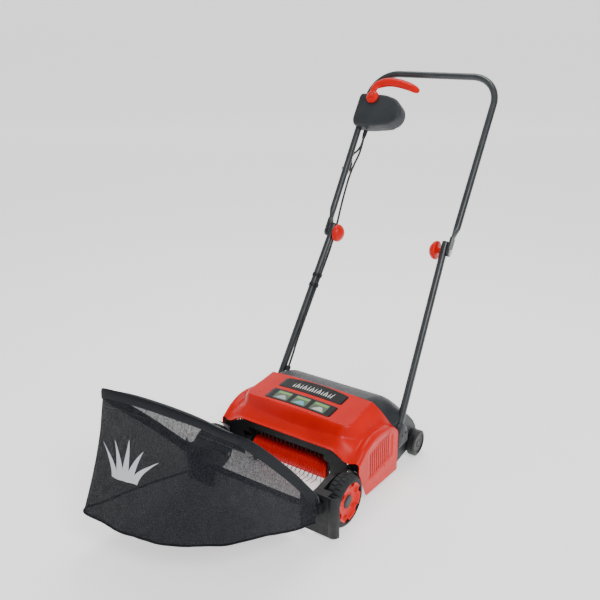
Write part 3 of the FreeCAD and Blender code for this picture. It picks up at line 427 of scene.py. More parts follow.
def build(name, points, faces, sharp=math.radians(35)):
    """A piece from points and faces, its doubled points joined and its normals made consistent."""
    shape = bmesh.new()
    corners = [shape.verts.new(point) for point in points]
    for face in faces:
        if len(set(face)) == len(face):
            shape.faces.new([corners[index] for index in face])
    bmesh.ops.remove_doubles(shape, verts=shape.verts, dist=1e-6)
    bmesh.ops.dissolve_degenerate(shape, edges=shape.edges, dist=1e-7)
    bmesh.ops.recalc_face_normals(shape, faces=shape.faces)
    mesh = bpy.data.meshes.new(name)
    shape.to_mesh(mesh)
    shape.free()
    return link_mesh(name, mesh, sharp)


def grid_faces(rows, columns, wrap_rows=False, wrap_columns=False, first=0):
    """Quads of a grid of points stored row by row."""
    faces = []
    for i in range(rows if wrap_rows else rows - 1):
        for j in range(columns if wrap_columns else columns - 1):
            below, beside = (i + 1) % rows, (j + 1) % columns
            faces.append([first + i * columns + j, first + i * columns + beside,
                          first + below * columns + beside, first + below * columns + j])
    return faces


def capped_faces(rings, count):
    """Faces of a stack of closed rings, with a cap at each end."""
    caps = [list(range(count)), list(range((rings - 1) * count, rings * count))]
    return grid_faces(rings, count, False, True) + caps


def skin(name, rows, sharp=math.radians(35)):
    """An open skin over rows of points, in millimetres from the front axle."""
    points = [at(*spot) for line in rows for spot in line]
    return build(name, points, grid_faces(len(rows), len(rows[0])), sharp)


def lathe(name, outline, place, segments=96, radius=None, sharp=math.radians(35)):
    """A closed outline of (place along X, radius) turned about X; radius(r, angle, along) may shape it."""
    points = []
    for along, r in outline:
        for step in range(segments):
            angle = 2 * math.pi * step / segments
            reach = radius(r, angle, along) if radius else r
            points.append(place @ Vector((along, reach * math.cos(angle), reach * math.sin(angle))))
    return build(name, points, grid_faces(len(outline), segments, True, True), sharp)


def mm(outline):
    """A turned outline given in millimetres, as (place along X, radius) in metres."""
    return [(along * MM, r * MM) for along, r in outline]


def mirrored_place(centre, side):
    return Matrix.Translation(centre) @ Matrix.Diagonal((side, 1, 1, 1))


def softened(outline, radius, steps=4):
    """A closed outline of 2-D points with each corner rounded by an arc-like curve."""
    rounded = []
    count = len(outline)
    for index in range(count):
        before, corner, after = (Vector(outline[(index + shift) % count]) for shift in (-1, 0, 1))
        into, out = before - corner, after - corner
        reach = min(radius, into.length * 0.45, out.length * 0.45)
        start = corner + into.normalized() * reach
        end = corner + out.normalized() * reach
        for step in range(steps + 1):
            share = step / steps
            rounded.append(start * (1 - share) ** 2 + corner * 2 * share * (1 - share) + end * share ** 2)
    return rounded


def inset_outline(outline, amount):
    """The outline moved inwards along its normals."""
    count = len(outline)
    area = sum(outline[i].cross(outline[(i + 1) % count]) for i in range(count))
    moved = []
    for index in range(count):
        way = (outline[(index + 1) % count] - outline[index - 1]).normalized()
        normal = Vector((-way.y, way.x)) * (1 if area > 0 else -1)
        moved.append(outline[index] + normal * amount)
    return moved


def layered(name, outline, layers, place):
    """A solid of one outline in X and Z through layers of (Y, inset), closed at both ends; millimetres."""
    points, count = [], len(outline)
    for y, inset in layers:
        for spot in inset_outline(outline, inset):
            points.append(place @ Vector((spot.x * MM, y * MM, spot.y * MM)))
    return build(name, points, capped_faces(len(layers), count))


def sweep(name, path, section, up):
    """A section swept along a path. section(share) gives 2-D points; up(index) the section's second axis."""
    points, count = [], len(section(0))
    for index, centre in enumerate(path):
        ahead = path[min(index + 1, len(path) - 1)] - path[max(index - 1, 0)]
        ahead.normalize()
        second = up(index) - ahead * up(index).dot(ahead)
        second.normalize()
        first = second.cross(ahead)
        for a, b in section(index / (len(path) - 1)):
            points.append(centre + first * a + second * b)
    return build(name, points, capped_faces(len(path), count), math.radians(50))


def oval(half_a, half_b, count=16):
    return [(half_a * math.cos(2 * math.pi * i / count), half_b * math.sin(2 * math.pi * i / count))
            for i in range(count)]


def clamp(value):
    return max(0.0, min(1.0, value))


def ease(value):
    value = clamp(value)
    return value * value * (3 - 2 * value)


def knots(pairs):
    """Knots for through(), from pairs of a place and a point."""
    return [(place, Vector(spot)) for place, spot in pairs]


def through(curve, place):
    """A smooth curve through (place, value) knots, where value is a number or a vector."""
    last = len(curve) - 1
    index = next((i for i in range(last) if place <= curve[i + 1][0]), last - 1)
    (x1, p1), (x2, p2) = curve[index], curve[index + 1]
    x0, p0 = curve[max(index - 1, 0)]
    x3, p3 = curve[min(index + 2, last)]
    share = clamp((place - x1) / (x2 - x1))
    slope1 = (p2 - p0) * ((x2 - x1) / (x2 - x0))
    slope2 = (p3 - p1) * ((x2 - x1) / (x3 - x1))
    a, b = share * share * (3 - 2 * share), share * share
    return p1 * (1 - a) + p2 * a + slope1 * (share * (1 - share) ** 2) + slope2 * (b * (share - 1))


def modified(piece):
    """Apply a piece's modifiers, so that its mesh is what shows."""
    mesh = shown_mesh(piece)
    piece.modifiers.clear()
    piece.data = mesh


def give_wall(shell):
    """Thicken a moulded shell inwards."""
    wall = shell.modifiers.new("wall", "SOLIDIFY")
    wall.thickness = WALL
    wall.offset = -1
    modified(shell)


def both_halves(rows):
    """Rows from one side to the middle, then their mirror images back out to the other side."""
    return rows + [[(-x, y, z) for x, y, z in line] for line in reversed(rows[:-1])]


def joined(name, pieces):
    """Several meshes as one piece."""
    shape = bmesh.new()
    for piece in pieces:
        shape.from_mesh(piece.data)
    mesh = bpy.data.meshes.new(name)
    shape.to_mesh(mesh)
    shape.free()
    for piece in pieces:
        bpy.data.objects.remove(piece)
    return link_mesh(name, mesh)


# ---- red top cover
COVER_HALF = 240.5
CORNER = 14.5
DECK_HALF = COVER_HALF - CORNER
RIDGE = ((50, 138), (62, 146), (80, 159), (105, 176), (150, 190), (200, 188), (245, 176), (300, 146))
PLATEAU_HEIGHT = 231
PLATEAU_FRONT = 91
PLATEAU_HALF = 184
PLATEAU_CORNER = 34
ARCH_RADIUS = 79
COVER_STEPS = 90
LOUVRES = 10
LOUVRE_PITCH = 11.6
LOUVRE_WIDTH = 5.0


def plateau_top(x, y):
    return PLATEAU_HEIGHT + (y - 101) * 0.1 - 7 * (x / 166) ** 2


def plateau_share(x, y):
    """1 on the cover's raised middle, 0 outside it, with a steep front and a longer slope to each side."""
    front = PLATEAU_FRONT + PLATEAU_CORNER + 7 * (x / PLATEAU_HALF) ** 2
    across = abs(x) - (PLATEAU_HALF - PLATEAU_CORNER)
    back = front - y
    outside = math.hypot(max(across, 0), max(back, 0)) + min(max(across, back), 0) - PLATEAU_CORNER
    sideways = ease(max(across, 0) / (max(across, 0) + max(back, 0) + 0.001)) if across > 0 else 0
    start = -11 + 5 * sideways
    end = 11 + sideways * (17 * ease((y - 95) / 45) + 12 * ease((y - 190) / 60))
    share = clamp((outside - start) / (end - start))
    straight = sideways * ease((y - 140) / 80)
    return 1 - ease(share) - (share - ease(share)) * straight


def ridge_height(y):
    return through(RIDGE, y)


def cover_height(x, y):
    """Height of the cover's deck: front lip, side grooves and ridges, and the raised middle."""
    centre = 171.5 + 29 * ease((y - 56) / 40)
    deck = centre + (ridge_height(y) - centre) * ease((abs(x) - 150) / 72)
    groove = math.exp(-((abs(x) - 211) / 8) ** 2) * ease((y - 70) / 40) * ease((262 - y) / 40)
    deck -= 6 * groove * ease((DECK_HALF - abs(x)) / 6)
    share = plateau_share(x, y)
    return deck + (plateau_top(x, y) - deck) * share


def cover_front(x, z):
    """How far forward the cover reaches: its lip, the wheel arch and a slanting edge on the flanks."""
    lip = 55 + 11 * ease((abs(x) - 196) / 44)
    if abs(x) <= DECK_HALF:
        return lip
    rise = z - 72
    arch = math.sqrt(ARCH_RADIUS ** 2 - rise ** 2) if abs(rise) < ARCH_RADIUS else 0
    return max(lip, arch, 64 + (115 - z) * 0.5)


def cover_rear(z):
    return min(292, 240 + (246 - z) * 52 / 112)


def cover_foot(y):
    return max(8, 24 - (y - 100) * 0.08)


def flank_inset(y, z):
    """The shallow panel pressed into each flank, where the louvres are."""
    low = ease((z - 66 - (y - 105) * 0.06) / 5) * ease((y - 116) / 7) * ease((262 - y) / 7)
    return 3.0 * low * ease((ridge_height(y) - 22 - z) / 6)


def cover_row(kind, place):
    """One line of the cover from front to rear; kind is deck, corner or flank."""
    line = []
    for step in range(COVER_STEPS + 1):
        share = (step / COVER_STEPS) ** 1.25
        y, z = 100, 150
        for _ in range(8):
            ridge = ridge_height(y)
            if kind == "deck":
                x, z = place, cover_height(place, y)
            elif kind == "corner":
                x = DECK_HALF + CORNER * math.sin(place)
                z = ridge - CORNER * (1 - math.cos(place))
            else:
                x = COVER_HALF
                z = ridge - CORNER - (ridge - CORNER - cover_foot(y)) * place
            y = cover_front(x, z) + (cover_rear(z) - cover_front(x, z)) * share
        if kind == "flank":
            x -= flank_inset(y, z)
        line.append((x, y, z))
    return line


def louvre_cutter():
    """Upright slots with round ends, in both flanks."""
    slots = []
    for index in range(LOUVRES):
        y = 131 + index * LOUVRE_PITCH
        low = 72 + index * 0.7
        high = 146 + index * 2.4 - 0.5 * max(0, index - 6) ** 2
        outline = [(y, low), (y + LOUVRE_WIDTH, low), (y + LOUVRE_WIDTH, high), (y, high - 5)]
        ring = softened(outline, 2.4)
        for side in (1, -1):
            points = [at(side * x, spot.x, spot.y) for x in (228, 250) for spot in ring]
            slots.append(build("slot", points, capped_faces(2, len(ring))))
    return joined("slots", slots)


def top_cover():
    """The moulded shell, from the left flank over the deck to the right one."""
    half = [("flank", 1 - index / 26) for index in range(26)]
    half += [("corner", math.radians(90 - index * 10)) for index in range(9)]
    half += [("deck", DECK_HALF - DECK_HALF * index / 62) for index in range(63)]
    rows = both_halves([cover_row(kind, place) for kind, place in half])
    cover = skin("cover_shell", rows)
    if cover.data.polygons[len(cover.data.polygons) // 2].normal.z < 0:
        cover.data.flip_normals()
    give_wall(cover)
    cutter = louvre_cutter()
    slots = cover.modifiers.new("louvres", "BOOLEAN")
    slots.operation = "DIFFERENCE"
    slots.object = cutter
    slots.solver = "EXACT"
    modified(cover)
    bpy.data.objects.remove(cutter)
    cover.data.shade_smooth()
    cover.data.set_sharp_from_angle(angle=math.radians(40))
    settle(cover, "chassis", "red_gloss", "top_cover")


top_cover()


# ---- labels on the cover
def draped_patch(name, lines, lift, steps=26):
    """A thin printed patch lying on the cover, from lines of (left, right, y, how far y bows back)."""
    rows = []
    for left, right, back, bow in lines:
        rows.append([])
        for step in range(steps + 1):
            x = left + (right - left) * step / steps
            y = back + bow * (1 - (x / 122) ** 2)
            rows[-1].append((x, y, cover_height(x, y) + lift))
    return skin(name, rows)


def label_lines(half, y0, y1, corner, bow=0.0):
    """Lines of a patch with rounded corners; bow pushes its rear edge back in the middle."""
    lines = []
    count = 22
    for index in range(count + 1):
        share = index / count
        y = y0 + (y1 - y0) * share
        near = min(y - y0, y1 - y)
        cut = corner - math.sqrt(max(corner ** 2 - (corner - min(near, corner)) ** 2, 0))
        lines.append((-half + cut, half - cut, y, bow * share))
    return lines


def cover_labels():
    """Two black panels: a row of three plain picture tiles, and a row of grass blades, with no lettering."""
    panels = [draped_patch("front_panel", label_lines(113, 113, 166, 6), 0.35),
              draped_patch("rear_panel", label_lines(111, 180, 226, 6, 12), 0.35)]
    label = joined("cover_label_film", panels)
    thickness = label.modifiers.new("film", "SOLIDIFY")
    thickness.thickness = 0.0003
    settle(label, "chassis", "label", "cover_labels")
    colours = ((0.30, 0.33, 0.36), (0.10, 0.34, 0.42), (0.46, 0.45, 0.42))
    for index, colour in enumerate(colours):
        centre = (index - 1) * 64
        tile = label_lines(25, 119, 160, 3)
        ground = [(centre + a, centre + b, y, bow) for a, b, y, bow in tile]
        hill = [(centre - 19 + rise, centre + 20 - rise * 0.6, 123 + rise, 0) for rise in (0, 6, 12, 18)]
        sward = [(centre - 22, centre + 22, y, 0) for y in (147, 152, 157)]
        parts = (("ground", ground, 0.5, (0.035, 0.075, 0.03)), ("shape", hill, 0.62, colour),
                 ("grass", sward, 0.62, (0.14, 0.30, 0.05)))
        for kind, lines, lift, ink in parts:
            patch = draped_patch(f"label_tile_{index}_{kind}", lines, lift, 8)
            settle(patch, "chassis", "label", material=print_ink(f"ink_{index}_{kind}", ink))
    blades = []
    for index in range(17):
        x = (index - 8) * 8.2
        lean = 6 * math.sin(index * 2.1)
        tall = 20 + 7 * math.sin(index * 1.3) ** 2
        lines = []
        for step in range(7):
            share = step / 6
            bend = x + lean * share ** 2
            breadth = 2.0 * (1 - share ** 1.6) + 0.05
            lines.append((bend - breadth, bend + breadth, 189 + tall * share, 6))
        blades.append(draped_patch("blade", lines, 0.55, 3))
    settle(joined("label_grass_blades", blades), "chassis", "label",
           material=print_ink("ink_white", (0.62, 0.62, 0.6)))


cover_labels()

# ---- rear housing
REAR_TOP = knots(((0.0, (245, 240)), (0.22, (300, 226)), (0.42, (347, 205)), (0.66, (402, 160)),
                  (0.86, (441, 104)), (0.95, (452, 62)), (1.0, (452, 28))))
REAR_FALL = ((0.0, 84), (0.22, 66), (0.42, 34), (0.66, 22), (0.86, 10), (1.0, 0))
REAR_HALF = 226
REAR_FLAT_HALF = 150
REAR_CORNER = 20
REAR_STEPS = 60


def rear_row(x, sink, foot=0.0):
    """One line of the rear housing from front to rear; foot brings it down to the lower edge."""
    drop = ease((x - REAR_FLAT_HALF) / (REAR_HALF - REAR_FLAT_HALF))
    line = []
    for step in range(REAR_STEPS + 1):
        share = step / REAR_STEPS
        spot = through(REAR_TOP, share)
        low = 10 + max(0, spot.x - 300) * 0.12
        z = max(spot.y - through(REAR_FALL, share) * drop - sink, low)
        line.append((x, spot.x - 4 * drop, z + (low - z) * foot))
    return line


def rear_housing():
    """Side wall, rounded shoulder and top of one half, mirrored, with the two tube sockets."""
    shoulder = REAR_CORNER * 0.6
    rows = [rear_row(REAR_HALF, shoulder, 1 - index / 12) for index in range(12)]
    for index in range(9):
        turn = math.radians(90 - index * 11.25)
        x = REAR_HALF - REAR_CORNER * (1 - math.sin(turn))
        rows.append(rear_row(x, shoulder * (1 - math.cos(turn))))
    inner = REAR_HALF - REAR_CORNER
    rows = both_halves(rows + [rear_row(inner * (1 - index / 40), 0) for index in range(1, 41)])
    shell = skin("rear_shell", rows, math.radians(42))
    give_wall(shell)
    casing = joined("rear_casing", [shell, tube_socket(1), tube_socket(-1)])
    settle(casing, "chassis", "grey_plastic", "rear_housing")


def tube_socket(side):
    """The boss that a lower handle tube is pushed into: a round-cornered block."""
    outline = softened([(292, 76), (292, 128), (312, 148), (336, 142), (352, 116), (356, 76)], 12, 5)
    layers = [(206, 5), (208, 1.5), (211, 0), (238, 0), (242, 1.5), (244, 5)]
    points = []
    for x, inset in layers:
        points += [at(side * x, spot.x, spot.y) for spot in inset_outline(outline, inset)]
    return build("socket", points, capped_faces(len(layers), len(outline)))


rear_housing()

# ---- collecting bag
# lines of the bag from its left socket round to its right one: rim wire, bottom seam, rear corner, rear edge
BAG_LINES = (
    ((-215, -94, 122), (-216, -112, 58), (-214, -106, 60), (-212, -103, 118)),
    ((-231, -225, 273), (-243, -262, 84), (-208, -112, 50), (-205, -102, 108)),
    ((-243, -328, 382), (-250, -402, 112), (-190, -112, 48), (-188, -102, 98)),
    ((-241, -354, 412), (-255, -447, 122), (-172, -112, 48), (-170, -102, 96)),
    ((-226, -372, 431), (-232, -464, 120), (-150, -112, 48), (-150, -102, 96)),
    ((-128, -376, 444), (-130, -455, 114), (-92, -112, 48), (-92, -102, 96)),
    ((-22, -376, 449), (-24, -440, 114), (-20, -112, 48), (-20, -102, 96)),
    ((70, -375, 449), (62, -404, 119), (48, -112, 48), (48, -102, 96)),
    ((148, -372, 441), (134, -352, 124), (108, -112, 48), (108, -102, 96)),
    ((198, -346, 416), (180, -286, 120), (158, -112, 48), (158, -102, 97)),
    ((212, -225, 281), (206, -198, 92), (192, -112, 50), (192, -102, 100)),
    ((215, -94, 122), (215, -112, 62), (213, -106, 64), (211, -103, 114)),
)
BAG_COLUMNS = 150
FRONT_ROWS = 34
FLOOR_ROWS = 26
LIP_ROWS = 6
HEM_ROW = 4
STITCH_PITCH = 0.006
STITCH_LENGTH = 0.0042


def bag_line(kind):
    """One of the bag's four guide lines, sampled evenly round the bag."""
    last = len(BAG_LINES) - 1
    line = knots([(index / last, places[kind]) for index, places in enumerate(BAG_LINES)])
    return [through(line, column / BAG_COLUMNS) for column in range(BAG_COLUMNS + 1)]


def bag_grid():
    """Points of the cloth in rows from the rim to the rear edge, with its billow, sag and creases."""
    rim, seam, corner, edge = (bag_line(kind) for kind in range(4))
    rows = []
    for row in range(FRONT_ROWS + FLOOR_ROWS + LIP_ROWS + 1):
        line = []
        for column in range(BAG_COLUMNS + 1):
            round_bag = column / BAG_COLUMNS
            closing = math.sin(math.pi * round_bag) ** 0.5
            if row <= FRONT_ROWS:
                share = row / FRONT_ROWS
                spot = rim[column].lerp(seam[column], share)
                outward = Vector((spot.x * 1.1, -260 - abs(spot.y) * 0.2, 0)).normalized()
                pinch = 3 + 6 * ease((-spot.x - 150) / 80)
                billow = -pinch * math.sin(math.pi * share ** 0.8) * closing
                pull = 5.0 * math.sin(math.pi * share) * math.sin(round_bag * 23 + share * 5)
                spot = spot + outward * (billow + pull * 0.45 * closing)
            elif row <= FRONT_ROWS + FLOOR_ROWS:
                share = (row - FRONT_ROWS) / FLOOR_ROWS
                spot = seam[column].lerp(corner[column], share)
                spot.z -= 5 * math.sin(math.pi * share) * closing
                spot.z += 2.2 * math.sin(round_bag * 31 + share * 7) * math.sin(math.pi * share) * closing
            else:
                share = (row - FRONT_ROWS - FLOOR_ROWS) / LIP_ROWS
                spot = corner[column].lerp(edge[column], share)
                spot.y -= 3 * math.sin(math.pi * share)
            crease = noise.noise(Vector((spot.x * 0.012, spot.y * 0.02, spot.z * 0.008))) * 5
            crease += noise.noise(Vector((spot.x * 0.045, spot.y * 0.03, spot.z * 0.02))) * 1.6
            held = ease(row / 5) * ease((FRONT_ROWS + FLOOR_ROWS + LIP_ROWS - row) / 6) * closing
            line.append(spot + Vector((0.25, -0.8, -0.5)) * crease * held)
        rows.append(line)
    return rows


def bag_cloth(rows):
    """The cloth as one open sheet, its UV map in metres along the weave."""
    points = [at(*spot) for line in rows for spot in line]
    columns = BAG_COLUMNS + 1
    mesh = bpy.data.meshes.new("bag_cloth")
    mesh.from_pydata(points, [], grid_faces(len(rows), columns))
    weave = mesh.uv_layers.new(name="weave")
    depth = [0.0]
    for above, below in zip(rows, rows[1:]):
        depth.append(depth[-1] + (above[columns // 2] - below[columns // 2]).length * MM)
    breadth = [0.0]
    for before, after in zip(rows[0], rows[0][1:]):
        breadth.append(breadth[-1] + (after - before).length * MM)
    for loop in mesh.loops:
        row, column = divmod(loop.vertex_index, columns)
        weave.data[loop.index].uv = (breadth[column], depth[row])
    return link_mesh("bag_cloth", mesh, math.radians(80))


def stitches(name, path, out):
    """A line of short raised stitches along a path, each lifted along out(index)."""
    pieces, travelled, due = [], 0.0, STITCH_PITCH
    for index in range(1, len(path)):
        step = path[index] - path[index - 1]
        travelled += step.length
        if travelled >= due:
            due += STITCH_PITCH
            way = step.normalized()
            lift = out(index).normalized()
            beside = way.cross(lift)
            centre = path[index] + lift * 0.0004
            ring = []
            for along, size in ((-0.5, 0.25), (-0.3, 1), (0.3, 1), (0.5, 0.25)):
                for a, b in oval(0.0005, 0.0004, 6):
                    ring.append(centre + way * along * STITCH_LENGTH + beside * a * size + lift * b * size)
            pieces.append(build("stitch", ring, capped_faces(4, 6)))
    return joined(name, pieces)


def collecting_bag():
    """The cloth with its wire sleeve, piped seam, rear binding, stitches and print."""
    rows = bag_grid()
    cloth = bag_cloth(rows)
    settle(cloth, "bag", "mesh_fabric", "bag_fabric")
    rim = [at(*spot) for spot in rows[0]]
    below = [at(*spot) for spot in rows[HEM_ROW]]

    def fall(index):
        return below[index] - rim[index]

    sleeve_path = [spot + fall(index).normalized() * 0.0085 for index, spot in enumerate(rim)][2:-2]
    hem = sweep("bag_hem", sleeve_path, hem_section, lambda index: fall(index + 2))
    settle(hem, "bag", "mesh_fabric", material=HEM_TAPE)
    seam = [at(*spot) for spot in rows[FRONT_ROWS]]
    piping = sweep("bag_piping", seam, lambda share: oval(0.0024, 0.0030, 10),
                   lambda index: Vector((0, 0, 1)))
    settle(piping, "bag", "mesh_fabric", material=HEM_TAPE)
    edge = [at(*spot) for spot in rows[-1]]
    binding = sweep("bag_rear_binding", edge, lambda share: oval(0.002, 0.010, 14),
                    lambda index: Vector((0, 0.1, 1)))
    settle(binding, "bag", "mesh_fabric", material=HEM_TAPE)
    outward = [Vector((spot.x, spot.y - AXLE_Y, 0.05)) for spot in rim]
    row_of_thread = stitches("bag_hem_stitches", below, lambda index: outward[index])
    settle(row_of_thread, "bag", "mesh_fabric", material=STITCH_THREAD)
    tuft = bag_print(rows)
    settle(tuft, "bag", "mesh_fabric", material=BAG_INK)


def bag_print(rows):
    """A plain tuft of pale grass blades printed on the front of the bag, lying on the cloth."""
    def spot(across, down):
        column, row = across * BAG_COLUMNS, down * FRONT_ROWS
        left, top = int(column), int(row)
        upper = rows[top][left].lerp(rows[top][left + 1], column - left)
        lower = rows[top + 1][left].lerp(rows[top + 1][left + 1], column - left)
        return upper.lerp(lower, row - top)

    blades = []
    for index in range(5):
        place = index - 2
        tall = 0.30 - 0.045 * abs(place)
        points = []
        for step in range(15):
            share = step / 14
            wide = 0.0105 * (1 - share) ** 0.6 * (0.55 + 0.45 * math.sin(math.pi * (share * 0.8 + 0.2)))
            middle_line = 0.458 + 0.013 * place + 0.030 * place * share ** 1.7
            down = 0.62 - tall * share
            for edge in (-1, -0.5, 0, 0.5, 1):
                here = spot(middle_line + wide * edge, down)
                normal = (spot(middle_line + 0.01, down) - here).cross(spot(middle_line, down + 0.01) - here)
                normal.normalize()
                points.append(at(*(here + normal * (1.0 if normal.y < 0 else -1.0))))
        blades.append(build(f"blade_{index}", points, grid_faces(15, 5)))
    return joined("bag_print_blades", blades)


def hem_section(share):
    """The sleeve's section: a fold round the wire at its top, flat below."""
    wide = 0.0048
    points = []
    for a, b in oval(1, 1, 18):
        flat = 1 - 0.45 * ease(b * 0.5 + 0.5)
        points.append((a * wide * flat, b * 0.0125))
    return points


collecting_bag()


# ---- wheels
TREAD_BLOCKS = 30
TREAD_FOOT = 0.0695
TREAD_MIDDLE = -0.0235
TYRE = mm(((0, 56), (0, 60), (-1.2, 62.5), (-3.5, 66.2), (-7, 69.7), (-10.5, 71.4), (-15, 72), (-20.5, 72),
           (-21.8, 71.6), (-22.2, 69.4), (-24.8, 69.4), (-25.2, 71.6), (-26.5, 72), (-33, 72),
           (-37.5, 71.4), (-41, 69.7), (-44, 66), (-46.2, 60), (-47, 56), (-47, 48), (-44, 44), (-17, 40),
           (-15, 44), (-11.2, 55.3), (-2, 55.5)))
HUB = mm(((-8.5, 19.5), (-8.5, 21.5), (-9.8, 23), (-11, 26.2), (-11.2, 31.5), (-9.8, 38), (-6.6, 44.5),
          (-3, 49.2), (-1, 53), (-1.2, 54.8), (-2.4, 55.2), (-11, 55), (-14.5, 44), (-16, 30), (-22, 24),
          (-38, 20), (-38, 11), (-17, 11), (-15.5, 19.5)))
CAP = mm(((-15, 0.5), (-15, 19), (-8.5, 19), (-7, 18.2), (-5.6, 15.8), (-4.8, 10.5), (-4.5, 0.5)))
HUB_LOBES = 6


def tyre_shape(r, angle, along):
    """Tread blocks: cross grooves round the running face, offset on its two halves."""
    if r < TREAD_FOOT:
        return r
    phase = (angle * TREAD_BLOCKS / (2 * math.pi) + (0.5 if along < TREAD_MIDDLE else 0)) % 1
    return r - 0.0026 * (1 - ease(abs(phase - 0.5) * 5.0 - 0.2))


def front_wheels():
    """Tyre, dished hub and domed cap of each front wheel, turned about its axle."""
    for name, side in SIDES:
        centre = middle(f"front_tyre_{name}")
        low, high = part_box(f"front_tyre_{name}")
        centre.x = high.x if side > 0 else low.x
        place = mirrored_place(centre, side)
        tyre = lathe(f"tyre_tread_{name}", TYRE, place, TREAD_BLOCKS * 10, tyre_shape, math.radians(28))
        settle(tyre, f"front_wheel_{name}", "wheel_tread", f"front_tyre_{name}")
        hub = lathe(f"hub_disc_{name}", HUB, place, 180, hub_shape, math.radians(40))
        settle(hub, f"front_wheel_{name}", "red_gloss", f"front_hub_{name}")
        cap = lathe(f"hub_cap_dome_{name}", CAP, place, 48, sharp=math.radians(50))
        settle(cap, f"front_wheel_{name}", "grey_plastic", f"front_hub_cap_{name}")


def hub_shape(r, angle, along):
    """Round bites in the hub's rim leave six lobes."""
    if r < 0.040 or along < -0.0112:
        return r
    phase = abs((angle * HUB_LOBES / (2 * math.pi) + 0.25) % 1 - 0.5) * 2
    bite = math.sqrt(max(0.0, 1 - (phase / 0.36) ** 2)) * 0.0105
    return r - bite * ease((r - 0.036) / 0.016)


front_wheels()


# ---- raking cylinder
DRUM_RINGS = 34
TINE_ROWS = 8


def raking_drum():
    """The red cylinder: rounded rings between which the tines stand, and flat end plates."""
    low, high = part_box("rake_drum")
    centre = middle("rake_drum")
    half = (high.x - low.x) / 2
    outline = [(-half, 0.0082), (-half, 0.028), (-half + 0.0012, 0.0300)]
    pitch = (2 * half - 0.006) / DRUM_RINGS
    for ring in range(DRUM_RINGS):
        start = -half + 0.003 + ring * pitch
        for share, rise in ((0.0, 0.0), (0.12, 0.0), (0.22, 0.6), (0.32, 0.95), (0.46, 1.0), (0.62, 1.0),
                            (0.74, 0.95), (0.84, 0.6), (0.94, 0.0)):
            outline.append((start + share * pitch, 0.0288 + 0.0022 * rise))
    outline += [(half - 0.0012, 0.0300), (half, 0.028), (half, 0.0082)]
    drum = lathe("drum_rings", outline, mirrored_place(centre, 1), 96, drum_shape, math.radians(60))
    settle(drum, "rake", "red_gloss", "rake_drum")


def drum_shape(r, angle, along):
    """Each ring is notched where a row of tines passes."""
    if r < 0.0282:
        return r
    phase = (angle * TINE_ROWS / (2 * math.pi)) % 1
    return r - 0.0016 * ease(1 - abs(phase - 0.5) * 7)


raking_drum()


# ---- clamp knobs
def knob_shape(r, angle, along):
    """Shallow scallops round the knob's edge, fading over its dome."""
    if r < 0.012:
        return r
    grip = ease((r - 0.012) / 0.016)
    return r - 0.0007 * grip * (0.5 + 0.5 * math.cos(angle * 10))


KNOB = mm(((-0.5, 3.2), (-0.5, 8.5), (-6, 8.5), (-6.8, 10), (-7, 25), (-7.8, 28.4), (-9.5, 29.8),
           (-12, 30), (-15, 29.4), (-19, 27.6), (-23, 24.6), (-26.5, 20.6), (-29.5, 15.8), (-31.8, 10.4),
           (-33, 5.5), (-33.4, 3.2)))


def clamp_knobs():
    """A domed knob at each fold joint."""
    for name, side in SIDES:
        low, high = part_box(f"clamp_knob_{name}")
        centre = Vector((high.x if side > 0 else low.x, FOLD.y, FOLD.z))
        place = mirrored_place(centre, side)
        knob = lathe(f"knob_dome_{name}", KNOB, place, 120, knob_shape, math.radians(50))
        settle(knob, f"knob_{name}", "red_gloss", f"clamp_knob_{name}")


clamp_knobs()

# ---- switch box, lever and button
BOX_OUTLINE = ((-242, 398), (-241, 484), (-234, 494), (-205, 495), (-140, 492), (-98, 480), (-74, 455),
               (-68, 428), (-78, 403), (-106, 386), (-180, 376), (-232, 377))


def switch_box():
    """The two moulded halves of the box, rounded towards their outer faces."""
    outline = softened(BOX_OUTLINE, 14, 5)
    front = [(2.2, 6), (2.2, 0.9), (1.6, 0), (-25, 0), (-29, 0.9), (-32, 2.8), (-33.6, 5.6), (-34, 9)]
    back = [(1.2, 6), (1.2, 0.9), (1.8, 0.4), (14, 0.4), (19, 2), (22.5, 5.5), (24, 10)]
    for name, layers in (("front", front), ("back", back)):
        half = layered(f"switch_box_shell_{name}", outline, layers, HANDLE)
        settle(half, "handle", "grey_plastic", f"switch_box_{name}")


# the lever's arm: share of its length, then its centre's x and z and its half height, millimetres
LEVER_PATH = knots(((0.0, (-186, 480, 12)), (0.12, (-189, 500, 12)), (0.26, (-184, 520, 14)),
                    (0.4, (-164, 533, 15.5)), (0.55, (-134, 537, 15.5)), (0.7, (-98, 533, 15)),
                    (0.85, (-60, 523, 13.5)), (0.95, (-36, 513, 11)), (1.0, (-24, 507, 6))))
EYE = mm(((0.6, 9.5), (0.6, 20.8), (3, 22.2), (6.6, 21.8), (9.6, 19.8), (12, 16), (13, 11.8), (12.8, 9.5)))
BUTTON = mm(((-8, 0.5), (-8, 8.9), (12, 8.9), (14.2, 8), (15.4, 5.8), (15.9, 2.8), (16, 0.5)))


